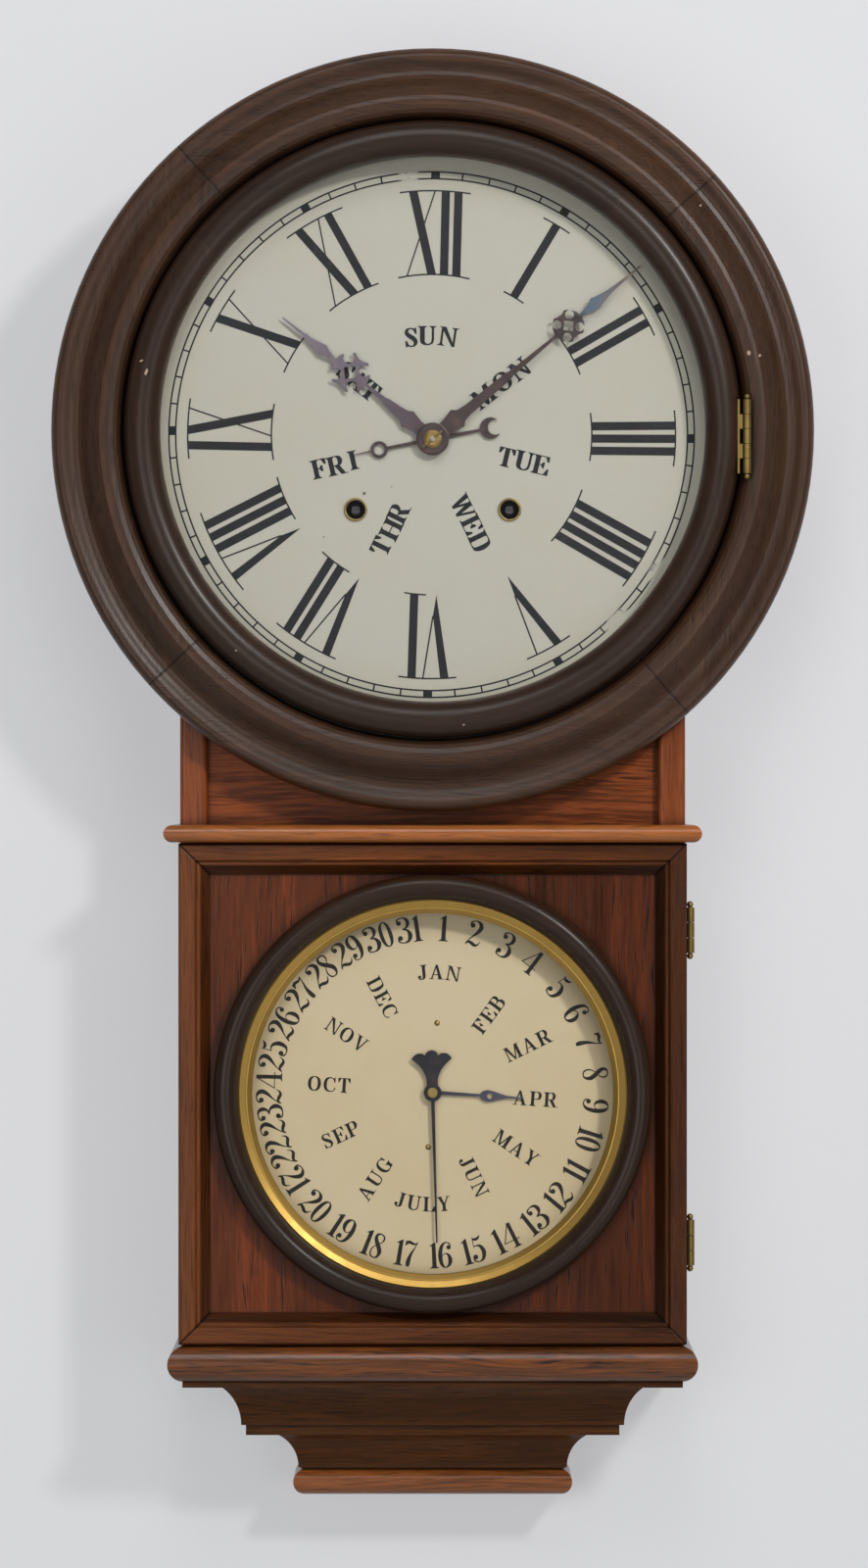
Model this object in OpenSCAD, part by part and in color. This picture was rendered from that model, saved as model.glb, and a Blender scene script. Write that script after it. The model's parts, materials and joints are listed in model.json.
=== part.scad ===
// Regulator wall clock with a time dial in a round head and a calendar dial in the door below.
// X runs to the right, Z up, and the front faces -Y. The wall is the plane y = 0 and the
// origin is the centre of the hole in the hanger plate. A depth is a distance forward of the wall.

/* [Head] */
// Radius of the opening of the glazed bezel
bezel_sight_r = 158.6; // [132:0.2:190]
// Radial width of the bezel moulding
bezel_w = 20.9; // [17:0.1:26]
// Thickness of the bezel from its back to its crown
bezel_t = 21.7; // [19:0.1:26]
// Radial gap between the bezel and the head ring
bezel_gap = 1; // [0.6:0.1:2]
// Radial width of the head ring moulding
ring_w = 42.1; // [36:0.1:60]
// Height of the crown of the head ring in front of its dial board
ring_rise = 24.2; // [22:0.2:30]
// Height of the hollow of the head ring in front of its dial board
hollow_rise = 12.5; // [10:0.1:16]
// How far the rim of the head ring stands in front of that hollow
rim_rise = 2.8; // [1:0.1:5]
// Thickness of the board that carries the dial and the head ring
dial_board_t = 9; // [7:0.5:14]
// Thickness of the painted dial plates
dial_t = 1; // [0.6:0.1:2]
// Thickness of the glasses
glass_t = 2; // [1.5:0.1:3]

/* [Case] */
// Width of the case across its sides
case_w = 296.5; // [247:0.5:356]
// Depth of the sides of the case
case_d = 95; // [86:1:120]
// Thickness of the side boards
side_t = 16; // [10:0.5:20]
// Thickness of the backboard
back_t = 12; // [8:0.5:14]
// How far the top corners of the case lie inside the edge of the head ring
corner_in = 12.554; // [8:0.001:20]
// Distance of the hanger hole below the top of the case
hanger_drop = 28; // [24:0.5:40]
// Gap between the head ring and the belt moulding
belt_gap = 7.8; // [5:0.1:20]
// Height of the belt moulding
belt_h = 10.2; // [8:0.1:16]
// How far the belt and base mouldings stand out from the sides
belt_out = 8.5; // [6:0.1:14]
// Thickness of the frieze panel above the belt
frieze_t = 8; // [5:0.5:10]
// How far the frieze panel lies behind the front edges of the sides
frieze_set = 8; // [4:0.5:12]

// Width of the hanger plate
hanger_w = 64; // [53:1:76]
// Height of the hanger plate
hanger_h = 34; // [28:1:40]
// Thickness of the hanger plate
hanger_t = 2; // [1.6:0.1:2.4]
// Radius of the hole in the hanger plate
hanger_hole_r = 4.5; // [3.5:0.1:5.4]

/* [Door] */
// Height of the door
door_h = 292.2; // [243:0.2:352]
// Width that the door laps over each side of the case
door_lap = 0; // [0:0.1:3]
// Thickness of the door frame
door_t = 20; // [16:0.5:24]
// Face width of the flat part of the door frame
stile_w = 9.8; // [8:0.1:16]
// Face width of the sloping inner part of the door frame
bevel_w = 8.2; // [6:0.1:12]
// Thickness of the door panel
panel_t = 8; // [6:0.5:10]
// Running gap around the door
door_gap = 0.6; // [0.4:0.1:1.5]
// Radial width of the dark ring around the calendar glass
door_ring_w = 14; // [12:0.1:20]
// Radial width of the brass ring inside it
sight_ring_w = 8.5; // [6:0.1:12]

/* [Base] */
// Height of the rounded moulding under the door
torus_h = 21.5; // [17:0.5:26]
// Height of the thin fillet under it
fillet_h = 3.2; // [2:0.2:6]
// Height of the cove under the fillet
cove_h = 25.5; // [20:0.5:31]
// Height of the flat band under the cove
band_h = 6.2; // [4:0.2:10]
// Height of the lower cove
low_cove_h = 23.5; // [19:0.5:29]
// Height of the rounded strip at the very bottom
roll_h = 15.5; // [12:0.5:20]

/* [Calendar] */
// Number of teeth of the date wheel, one for each day
date_teeth = 31; // [31:1:31]
// Radius of the date wheel
date_wheel_r = 30; // [24:0.5:34]
// How far the calendar dial lies behind the front edges of the sides
cal_set = 1; // [0.5:0.1:3]
// Space between the plates of the calendar work
cal_space = 12; // [11:0.5:13]

/* [Movement] */
// Distance of the hand arbor below the centre of the head
arbor_drop = 5.2; // [0:0.1:8]
// Half the distance between the two winding arbors
wind_x = 45; // [40:0.5:50]
// Distance of the winding arbors below the hand arbor
wind_drop = 41; // [36:0.5:46]
// Radius of the winding holes in the dial
wind_hole_r = 5.4; // [4.5:0.1:7]
// Space between the movement and the dial board
plate_set = 11; // [9:0.5:14]
// Space between the movement plates
plate_space = 34; // [32:0.5:36]
// Thickness of the movement plates
plate_t = 2; // [1.5:0.1:2.5]
// Half the width of the movement plates
plate_half = 81; // [80:0.5:90]
// Tooth module of the great wheels
great_m = 0.9; // [0.75:0.01:0.95]
// Tooth module of the second wheel
second_m = 0.55; // [0.5:0.01:0.6]
// Tooth module of the third wheel
third_m = 0.5; // [0.46:0.01:0.54]
// Radius of the tip circle of the escape wheel
escape_r = 15; // [13:0.5:15.5]
// Gap between the end of the pendulum rod and the floor of the case
bob_gap = 7.9; // [6:0.1:60]
// Radius of the pendulum bob
bob_r = 35; // [28:1:38]
// Thickness of the pendulum bob
bob_t = 14; // [10:0.5:15]

/* [Hands] */
// How far the tip of the minute hand stays inside the bezel
minute_short = 0.6; // [0:0.1:12]
// Length of the hour hand
hour_len = 113; // [90:0.5:125]
// Length of the weekday hand
weekday_len = 50.4; // [40:0.2:60]
// How far the tip of the date hand stays inside the sight ring
date_short = 17.3; // [12:0.1:25]
// Length of the month hand
month_len = 53.5; // [40:0.5:60]
// Minute shown, clockwise from the top in degrees
minute_angle = 50.2; // [0:0.1:360]
// Hour shown
hour_angle = 309; // [0:0.1:360]
// Weekday shown
weekday_angle = 259; // [0:0.1:360]
// Date shown
date_angle = 178.4; // [0:0.1:360]
// Month shown
month_angle = 93.6; // [0:0.1:360]

/* [Fits] */
// Radial clearance of a pivot or hinge pin in its hole
run = 0.05; // [0.03:0.01:0.1]
// Gap between flat faces that move past each other
face_gap = 0.3; // [0.2:0.05:0.5]
// Gap left at a glued mitre
glue = 0.1; // [0.05:0.05:0.2]
// Radius of the hinge pins
hinge_pin_r = 1.2; // [0.9:0.1:1.4]
// Radius of the hinge barrels
hinge_r = 2.6; // [2.4:0.1:3]
// Thickness of the hinge leaves
leaf_t = 1.2; // [0.8:0.1:1.4]
// Length of the bezel hinge
bezel_hinge_l = 43; // [34:0.5:52]
// Length of each door hinge
door_hinge_l = 27; // [21:0.5:33]

/* [Hidden] */
$fn = 48;
eps = 0.01;

// Half widths
case_half = case_w / 2;
inner_half = case_half - side_t;
door_half = case_half + door_lap;
panel_half = door_half - stile_w - bevel_w;
belt_half = case_half + belt_out;
drop_half = case_half - 2.2;
low_half = drop_half - 52.7;
end_t = 12;
hanger_screw_x = hanger_w / 2 - 7;

// Radii of the head
bezel_out_r = bezel_sight_r + bezel_w;
rebate_r = bezel_out_r + bezel_gap;
ring_out_r = rebate_r + ring_w;
dial_r = bezel_sight_r + 10.2;
dial_screw_at = dial_r - 5;
ring_bore_r = dial_r + 4;
board_r = ring_out_r - 15;
board_bore_r = dial_r - 33;
bezel_glass_r = bezel_sight_r + 4.7;
crown_at = rebate_r + 11;
rim_at = ring_out_r - 5;
hollow_at = crown_at + 0.67 * (rim_at - crown_at);

// Heights
case_top_z = hanger_drop;
head_z = case_top_z - sqrt(pow(ring_out_r - corner_in, 2) - pow(case_half, 2));
arbor_z = head_z - arbor_drop;
belt_top_z = head_z - ring_out_r - belt_gap;
belt_low_z = belt_top_z - belt_h;
door_top_z = belt_low_z - door_gap;
door_low_z = door_top_z - door_h;
case_low_z = door_low_z - door_gap;
torus_low_z = case_low_z - torus_h;
fillet_low_z = torus_low_z - fillet_h;
cove_low_z = fillet_low_z - cove_h;
band_low_z = cove_low_z - band_h;
low_cove_z = band_low_z - low_cove_h;
roll_low_z = low_cove_z - roll_h;
cal_z = (door_top_z + door_low_z) / 2;

// Depths of the head
board_front_d = case_d + dial_board_t;
dial_front_d = board_front_d + dial_t;
shoulder_d = board_front_d + 8;
bezel_back_d = shoulder_d + face_gap;
bezel_front_d = bezel_back_d + bezel_t;
ring_front_d = board_front_d + ring_rise;
hollow_d = board_front_d + hollow_rise;
bezel_glass_d = bezel_back_d + 4.7;

// Depths of the door and the belt
door_back_d = case_d + door_gap;
door_front_d = door_back_d + door_t;
panel_back_d = door_back_d + 2.6;
panel_front_d = panel_back_d + panel_t;
belt_front_d = door_front_d + 7.4;
front_less = belt_half - belt_front_d;
door_ring_r = min(panel_half, door_h / 2 - stile_w - bevel_w) - 0.2;
sight_ring_r = door_ring_r - door_ring_w;
cal_sight_r = sight_ring_r - sight_ring_w;
panel_bore_r = cal_sight_r + 0.7;
door_ring_t = 15;

// Calendar work
cal_plate_t = 2;
cal_dial_front_d = case_d - cal_set;
cal_dial_d = cal_dial_front_d - dial_t;
cal_front_d = cal_dial_d - 7 - cal_plate_t;
cal_back_d = cal_front_d - cal_space - cal_plate_t;
cal_dial_r = cal_sight_r + 5;
cal_legs = [80, 44];
cal_screws = [[2.6, 40.6], [-2.6, -32.1]];
date_arbor_r = 1.5;
date_pivot_r = 1.2;
lever_pin_r = 1.5;
month_pipe_r = 2.9;
lever_at = [-57, -12];
lift_x = -74;
lever_d = cal_back_d + cal_plate_t + 1.4;
lever_t = 1.6;
lift_r = 1;
lift_d = lever_d + lever_t + lift_r + 0.1;
date_len = cal_sight_r - date_short;

// Movement
works_d = case_d - plate_set;
plate_front_d = works_d - plate_t;
plate_inner_d = plate_front_d - plate_space;
plate_back_d = plate_inner_d - plate_t;
shake = 0.3;
pivot_r = 0.8;
arbor_r = 1.5;
wind_pivot_r = 2.5;
square_half = 2.05;
great_teeth = 72;
second_pinion = 12;
second_teeth = 96;
centre_teeth = 49;
third_pinion = 7;
third_teeth = 84;
escape_pinion = 7;
escape_teeth = 30;
time_at = [wind_x, -wind_drop];
strike_at = [-wind_x, -wind_drop];
second_at = meet([0, 0], time_at, (second_teeth + centre_teeth) / 2 * second_m,
    (great_teeth + second_pinion) / 2 * great_m);
third_at = second_at + polar((second_teeth + third_pinion) / 2 * second_m, 100);
escape_at = third_at + polar((third_teeth + escape_pinion) / 2 * third_m, 170);
verge_at = [0, 45];

// The second wheel points a tooth at the centre, so the centre wheel shows it a gap
centre_a = heading([0, 0], second_at) + 180 / centre_teeth;
second_a = heading(second_at, [0, 0]);
third_a = heading(third_at, escape_at);

plate_top = 64;
plate_low = -80;
pillar_at = [plate_half - 6, 56, -73];
great_d = plate_front_d - 4;
spring_d0 = plate_inner_d + 8;
spring_d1 = great_d - 2;
second_d = plate_inner_d + 3.5;
third_d = plate_inner_d + 12;
escape_d = plate_inner_d + 21;
spring_in_r = 6.2;
spring_r = great_teeth * great_m / 2 - 3.8;
spring_turns = floor((spring_r - spring_in_r) / 3);
hammer_at = [-18, -70];

// Motion work in front of the front plate
cannon_teeth = 12;
minute_teeth = 36;
minute_pinion = 10;
hour_teeth = 40;
works_gap = 15;
cannon_m = 2 * works_gap / (cannon_teeth + minute_teeth);
hour_m = 2 * works_gap / (minute_pinion + hour_teeth);
minute_wheel_at = polar(works_gap, 218);
cannon_d = works_d + 1.2;
hour_d = cannon_d + 3.4;
day_teeth = 60;
day_pinion = 30;
day_m = 0.5;
day_wheel_at = polar((day_teeth + day_pinion) / 2 * day_m, 128);
day_d = hour_d + 3;
stud_r = 1.2;
hand_arbor_r = 1.6;
hour_pipe_r = 2.9;
weekday_pipe_r = 4.2;
weekday_d = dial_front_d + 1.4;
hour_hand_d = weekday_d + 1.6;
minute_hand_d = hour_hand_d + 1.9;
hand_t = 0.9;
arbor_tip_d = minute_hand_d + 5;
minute_len = bezel_sight_r - minute_short;

// Pendulum, gong and hinges
swing_d = 28;
rod_r = 1.4;
bob_edge = 2.8;
pendulum_l = arbor_z + verge_at[1] - case_low_z - end_t - bob_gap - bob_r - 12;
lens_r = (bob_r * bob_r + (bob_t - bob_edge) * (bob_t - bob_edge) / 4) / (bob_t - bob_edge);
gong_at = [-50, -165];
gong_d = back_t + 6;
gong_wire_r = 1.6;
gong_pitch = 6;
gong_turns = 4;
gong_in_r = 13;
strike_a = 60;
gong_out_r = gong_in_r + gong_turns * gong_pitch;
bezel_hinge_x = bezel_out_r + 2.9;
bezel_hinge_d = bezel_back_d + 17.7;
bezel_hinge_z = head_z - 4.8;
door_hinge_x = door_half + hinge_r + 0.1;
door_hinge_d = (case_d + door_back_d) / 2;
door_hinges = [cal_z + 95.1, cal_z - 88];
knuckle_gap = 0.3;

// A point at distance r and angle a
function polar(r, a) = [r * cos(a), r * sin(a)];

// The point to the left of the line from p to q that lies rp from p and rq from q
function meet(p, q, rp, rq) =
    let (d = norm(q - p), u = (q - p) / d, a = (rp * rp - rq * rq + d * d) / (2 * d))
    p + a * u + sqrt(rp * rp - a * a) * [-u[1], u[0]];

// Direction from p to q in degrees
function heading(p, q) = atan2(q[1] - p[1], q[0] - p[0]);

// Points of a quarter ellipse about c with half axes w and h, from angle a to 90 - a
function bend(c, w, h, a) =
    [for (i = [0 : 6]) let (b = a + (90 - 2 * a) * i / 6) c + [w * cos(b), h * sin(b)]];

// Points of a smooth curve from p to q that is level at both ends
function wave(p, q) =
    [for (i = [1 : 8]) [p[0] + (q[0] - p[0]) * i / 8, p[1] + (q[1] - p[1]) * (1 - cos(22.5 * i)) / 2]];

// Turns a section of (radius, depth) about an axis that faces forward
module turned(angle = 360) rotate([90, 0, 0]) rotate_extrude(angle = angle) children();

// A round bar from depth d0 to depth d1
module rod(r, d0, d1) rotate([90, 0, 0]) translate([0, 0, d0]) cylinder(r = r, h = d1 - d0);

// A front outline from depth d, t thick
module slab(d, t) rotate([90, 0, 0]) translate([0, 0, d]) linear_extrude(t) children();

// A (depth, z) section run across the width w
module across(w) rotate([90, 0, -90]) linear_extrude(w, center = true) children();

// A plan outline of (x, depth), h high above z
module upright(z, h) translate([0, 0, z]) mirror([0, 1, 0]) linear_extrude(h) children();

// A box from x0 to x1, depth d0 to d1 and height z0 to z1
module block(x0, x1, d0, d1, z0, z1) translate([x0, -d1, z0]) cube([x1 - x0, d1 - d0, z1 - z0]);

// Moves its children to a point of the movement, in front view about the hand arbor
module at(p) translate([p[0], 0, arbor_z + p[1]]) children();

// Moves its children to a point of the calendar work
module at_cal(p = [0, 0]) translate([p[0], 0, cal_z + p[1]]) children();

// Turns a front outline clockwise by a
module clockwise(a) rotate([0, a, 0]) children();

// A straight bar of width w with round ends from p to q
module bar(p, q, w) {
    translate(p) rotate(heading(p, q)) translate([0, -w / 2]) square([norm(q - p), w]);
    translate(p) circle(w / 2);
    translate(q) circle(w / 2);
}

// Outline of a wheel with n teeth of module m
module teeth(n, m) {
    root = n * m / 2 - 1.15 * m;
    tip = n * m / 2 + 0.9 * m;
    polygon([for (i = [0 : n - 1], s = [[root, -0.25], [tip, -0.09], [tip, 0.09], [root, 0.25]])
        polar(s[0], (i + s[1]) * 360 / n)]);
}

// Windows between the arms of a wheel
module windows(rim, hub, arms, arm_w) difference() {
    circle(rim);
    circle(hub);
    for (i = [0 : arms - 1]) rotate(i * 360 / arms) translate([0, -arm_w / 2]) square([rim + 1, arm_w]);
}

// A wheel with crossed-out arms, its first tooth pointing along angle a, with a hole of radius bore
module wheel(n, m, d, t, a = 0, arms = 4, bore = 0) {
    rim = n * m / 2 - 1.15 * m - 2.2;
    slab(d, t) difference() {
        rotate(a) teeth(n, m);
        windows(rim, rim * 0.3 + 1, arms, 3);
        if (bore > 0) circle(bore);
    }
}

// A pinion of n wires between two shrouds, with a gap between wires centred on angle a
module lantern(n, m, d0, d1, a = 0) {
    pitch_r = n * m / 2;
    wire_r = 0.15 * PI * m;
    for (d = [d0, d1 - 0.8]) rod(pitch_r + wire_r + 0.4, d, d + 0.8);
    for (i = [0 : n - 1]) let (p = polar(pitch_r, a + (i + 0.5) * 360 / n))
        translate([p[0], 0, p[1]]) rod(wire_r, d0 + eps, d1 - eps);
}

// An arbor that runs between the movement plates, core_r thick
module arbor(core_r = arbor_r) {
    rod(core_r, plate_inner_d + shake, plate_front_d - shake);
    rod(pivot_r, plate_back_d - 0.5, works_d + 0.5);
}

// Angle of the gap of a pinion with np leaves that mates at heading h with a wheel of nw teeth,
// whose first tooth points along a
function mate(nw, np, a, h) =
    let (p = 360 / nw, off = (h - a) - p * round((h - a) / p)) h + 180 + off * nw / np;

// Knuckles of a hinge of length l along Z on its own axis, those with parity odd
module knuckles(l, n, odd) {
    step = l / n;
    for (i = [odd : 2 : n - 1]) translate([0, 0, -l / 2 + i * step + knuckle_gap / 2]) difference() {
        cylinder(r = hinge_r, h = step - knuckle_gap);
        translate([0, 0, -1]) cylinder(r = hinge_pin_r + run, h = step + 2);
    }
}

// The leaf plates beside those knuckles, as a box in plan cut into fingers
module fingers(l, n, odd, x0, x1, y0, y1) {
    step = l / n;
    for (i = [odd : 2 : n - 1])
        translate([x0, y0, -l / 2 + i * step + knuckle_gap / 2]) cube([x1 - x0, y1 - y0, step - knuckle_gap]);
}

// The pin bore of a hinge of length l
module pin_bore(l) translate([0, 0, -l / 2 - 1]) cylinder(r = hinge_pin_r + run, h = l + 2);

// A block with a moulded edge on three sides: a (depth, z) section and a front outline
module moulded(half, depth) intersection() {
    across(2 * half + 2) children(0);
    slab(0, depth + 1) children(1);
}

/* Case */

module backboard() color("#5a3018") difference() {
    block(-inner_half, inner_half, 0, back_t, case_low_z, case_top_z);
    block(-hanger_w / 2 - 0.2, hanger_w / 2 + 0.2, -1, hanger_t, -hanger_h / 2 - 0.2, hanger_h / 2 + 0.2);
    rod(2 * hanger_hole_r, 0, back_t + 1);
    for (x = [-hanger_screw_x, hanger_screw_x]) translate([x, 0, 0]) rod(1.4, 0, 0.75 * back_t);
}

// Plan section of a side board with its front edges rounded
module side_section() {
    round_r = 3;
    square([side_t, case_d - round_r]);
    translate([round_r, 0]) square([side_t - 2 * round_r, case_d]);
    for (x = [round_r, side_t - round_r]) translate([x, case_d - round_r]) circle(round_r);
}

module case_sides() color("#7a3f1e") difference() {
    for (s = [0, 1]) mirror([s, 0, 0]) upright(case_low_z, case_top_z - case_low_z)
        translate([inner_half, 0]) side_section();
    for (z = door_hinges) block(inner_half + 4, case_half + 1, case_d - leaf_t - 0.1, case_d + 1,
        z - door_hinge_l / 2 - 0.1, z + door_hinge_l / 2 + 0.1);
    belt_core(0.05);
}

module case_ends() color("#5a3018") {
    block(-inner_half, inner_half, back_t, case_d, case_top_z - end_t, case_top_z);
    block(-inner_half, inner_half, back_t, case_d, case_low_z, case_low_z + end_t);
}

module dial_board() color("#6b4226") difference() {
    slab(case_d, dial_board_t) difference() {
        translate([0, head_z]) circle(board_r);
        translate([0, head_z]) circle(board_bore_r);
    }
    for (a = [45 : 90 : 315]) let (p = polar(dial_screw_at, a))
        translate([p[0], 0, head_z + p[1]]) rod(1.3, case_d + 3, board_front_d + 1);
}

// Section of the head ring: rebate for the bezel, crown, hollow and rim
module ring_section() polygon(concat(
    [[board_r + 0.5, board_front_d], [board_r + 0.5, case_d], [ring_out_r, case_d]],
    bend([rim_at, hollow_d - 4], ring_out_r - rim_at, rim_rise + 4, 0),
    wave([rim_at, hollow_d + rim_rise], [hollow_at, hollow_d]),
    wave([hollow_at, hollow_d], [crown_at, ring_front_d]),
    bend([crown_at, shoulder_d + 7], rebate_r - crown_at, ring_front_d - shoulder_d - 7, 90),
    [[rebate_r, shoulder_d], [ring_bore_r, shoulder_d], [ring_bore_r, board_front_d]]));

module head_ring() color("#3a2620") difference() {
    translate([0, 0, head_z]) turned() ring_section();
    block(bezel_hinge_x + 0.7, bezel_hinge_x + 0.9 + leaf_t, shoulder_d + 0.5, ring_front_d,
        bezel_hinge_z - bezel_hinge_l / 2 - 0.1, bezel_hinge_z + bezel_hinge_l / 2 + 0.1);
}

module frieze_panel() color("#8a4a24") block(-inner_half, inner_half, case_d - frieze_set - frieze_t,
    case_d - frieze_set, belt_top_z, head_z - board_bore_r - 5);

// The rail of the belt, which runs through the sides, made larger by grow
module belt_core(grow = 0) block(-inner_half - 5 - grow, inner_half + 5 + grow, case_d - 12 - grow,
    case_d + 1, belt_low_z - grow, belt_top_z + grow);

module belt_moulding() color("#9a5a30") {
    intersection() {
        belt_core();
        block(-belt_half, belt_half, 0, case_d, belt_low_z, belt_top_z);
    }
    difference() {
        moulded(belt_half, belt_front_d) {
            bullnose(belt_front_d, belt_low_z, belt_h, 1);
            bullnose(belt_half, belt_low_z, belt_h, 2);
        }
        block(-case_half, case_half, -1, case_d, belt_low_z - 1, belt_top_z + 1);
    }
}

// A section from the wall out to reach, with a half-round edge; sides 2 gives both ends
module bullnose(reach, z, h, sides) {
    r = h / 2;
    x0 = sides == 2 ? -reach + r : 0;
    translate([x0, z]) square([reach - r - x0, h]);
    translate([reach - r, z + r]) circle(r);
    if (sides == 2) translate([-reach + r, z + r]) circle(r);
}

module base_torus() color("#7a4526") {
    half = belt_half - 2.2;
    moulded(half, half - front_less) {
        bullnose(half - front_less, torus_low_z, torus_h, 1);
        bullnose(half, torus_low_z, torus_h, 2);
    }
}

// Section of a base block out to reach: a square lip from z0 to z1, a cove stepped back from it
// that curves in by inset down to z2, and a band set back by less down to z3
module drop_section(reach, step, inset, less, z0, z1, z2, z3) {
    r = ((z1 - z2) * (z1 - z2) + inset * inset) / (2 * inset);
    translate([0, z1]) square([reach, z0 - z1]);
    difference() {
        translate([0, z2]) square([reach - step, z1 - z2 + eps]);
        translate([reach - step - inset + r, z2]) circle(r, $fn = 96);
    }
    translate([0, z3]) square([reach - step - inset - less, z2 - z3 + eps]);
}

// Both sides of a section
module both() {
    children();
    mirror([1, 0]) children();
}

// Section of the fillet, cove and band under the torus, out to reach
module upper_drop(reach) drop_section(reach, 19.4, 13.8, 2.7, torus_low_z, fillet_low_z, cove_low_z,
    band_low_z);

// Section of the lower cove, out to reach
module lower_drop(reach) drop_section(reach, 0, 13.5, 1.4, band_low_z - glue, band_low_z - 1,
    low_cove_z + 0.8, low_cove_z);

module base_coves() color("#5f3219") {
    moulded(drop_half, drop_half - front_less) {
        upper_drop(drop_half - front_less);
        both() upper_drop(drop_half);
    }
    moulded(low_half, low_half - front_less) {
        lower_drop(low_half - front_less);
        both() lower_drop(low_half);
    }
}

module base_roll() color("#6b3a1e") {
    half = low_half - 10.4;
    moulded(half, half - front_less) {
        bullnose(half - front_less, roll_low_z, roll_h, 1);
        bullnose(half, roll_low_z, roll_h, 2);
    }
}

/* Fixed metalwork */

module hanger_plate() color("#8d8a80") difference() {
    block(-hanger_w / 2, hanger_w / 2, 0, hanger_t, -hanger_h / 2, hanger_h / 2);
    rod(hanger_hole_r, -1, hanger_t + 1);
    for (x = [-hanger_screw_x, hanger_screw_x]) translate([x, 0, 0]) rod(1.4, -1, hanger_t + 1);
}

// A round-headed screw whose head seats at depth d
module screw(d, l, head_r = 2.6, shank_r = 1.25) {
    rod(shank_r, d - l, d + eps);
    turned() translate([0, d]) intersection() {
        square([head_r, head_r * 0.55]);
        translate([0, -head_r * 0.65]) circle(head_r * 1.2);
    }
}

module brass_screws() color("#b08d3c") {
    for (p = cal_screws) at_cal(p) screw(cal_dial_front_d, dial_t + 5, 1.7, 1);
    for (a = [45 : 90 : 315]) let (p = polar(dial_screw_at, a))
        translate([p[0], 0, head_z + p[1]]) screw(dial_front_d, dial_t + 5);
}

module time_dial() color("#d8d5c8") difference() {
    translate([0, 0, head_z]) rod(dial_r, board_front_d, dial_front_d);
    at([0, 0]) rod(weekday_pipe_r + 0.8, 0, dial_front_d + 1);
    for (p = [time_at, strike_at]) at(p) rod(wind_hole_r + 0.8, 0, dial_front_d + 1);
    for (a = [45 : 90 : 315]) let (p = polar(dial_screw_at, a))
        translate([p[0], 0, head_z + p[1]]) rod(1.3, 0, dial_front_d + 1);
}

module winding_grommets() color("#b08d3c") for (p = [time_at, strike_at]) at(p) turned() {
    translate([wind_hole_r, board_front_d - 1]) square([0.75, dial_t + 1.2]);
    translate([wind_hole_r, dial_front_d]) square([1.4, 0.5]);
    translate([wind_hole_r + 0.7, dial_front_d + 0.7]) circle(0.7);
}

module calendar_dial() color("#dcd0ac") difference() {
    at_cal() rod(cal_dial_r, cal_dial_d, cal_dial_front_d);
    at_cal() rod(month_pipe_r + 0.8, 0, 200);
    for (p = cal_screws) at_cal(p) rod(1.05, 0, 200);
}

// Outline of a plate of the calendar work
module cal_plate_outline() {
    for (s = [1, -1]) bar([-cal_legs[0], s * cal_legs[1]], [cal_legs[0], s * cal_legs[1]], 12);
    for (s = [1, -1]) bar([s * cal_legs[0], cal_legs[1]], [s * cal_legs[0], -cal_legs[1]], 12);
    bar([-cal_legs[0], 0], [cal_legs[0], 0], 14);
    bar([0, cal_legs[1]], [0, -cal_legs[1]], 14);
    translate(lever_at) circle(7);
    bar(lever_at, [lever_at[0], 0], 10);
}

module calendar_frame() color("#55504a") at_cal() difference() {
    union() {
        slab(cal_back_d, cal_plate_t) cal_plate_outline();
        slab(cal_front_d, cal_plate_t) cal_plate_outline();
        for (x = [-1, 1], z = [-1, 1]) translate([x * cal_legs[0], 0, z * cal_legs[1]])
            rod(4, back_t, cal_front_d + eps);
        for (p = cal_screws) translate([p[0], 0, p[1]]) rod(3, cal_front_d, cal_dial_d);
        translate([lever_at[0], 0, lever_at[1]]) rod(lever_pin_r, cal_back_d, cal_front_d + eps);
    }
    rod(date_pivot_r + run, cal_back_d - 1, cal_back_d + cal_plate_t + 1);
    rod(month_pipe_r + run, cal_front_d - 1, cal_front_d + cal_plate_t + 1);
    for (p = cal_screws) translate([p[0], 0, p[1]]) rod(1.05, cal_dial_d - 6, cal_dial_d + 1);
}

/* Movement frame */

// Outline of a movement plate with four windows
module plate_outline() difference() {
    translate([-plate_half, plate_low]) square([2 * plate_half, plate_top - plate_low]);
    for (s = [1, -1]) {
        translate([s * 63, 18]) circle(9);
        translate([s * 14, -44]) circle(11);
    }
    translate([0, -66]) circle(8);
}

module movement_plates() color("#b08d3c") at([0, 0]) difference() {
    for (d = [plate_back_d, plate_front_d]) slab(d, plate_t) plate_outline();
    for (p = [second_at, third_at, escape_at, verge_at, hammer_at])
        translate([p[0], 0, p[1]]) rod(pivot_r + run, 0, 200);
    for (p = [time_at, strike_at]) translate([p[0], 0, p[1]]) rod(wind_pivot_r + run, 0, 200);
    rod(hand_arbor_r + run, 0, 200);
    for (x = [-pillar_at[0], pillar_at[0]], z = [pillar_at[1], pillar_at[2]])
        translate([x, 0, z]) rod(2.5 + run, 0, 200);
    for (p = [minute_wheel_at, day_wheel_at])
        translate([p[0], 0, p[1]]) rod(stud_r, plate_front_d - 1, 200);
}

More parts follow.
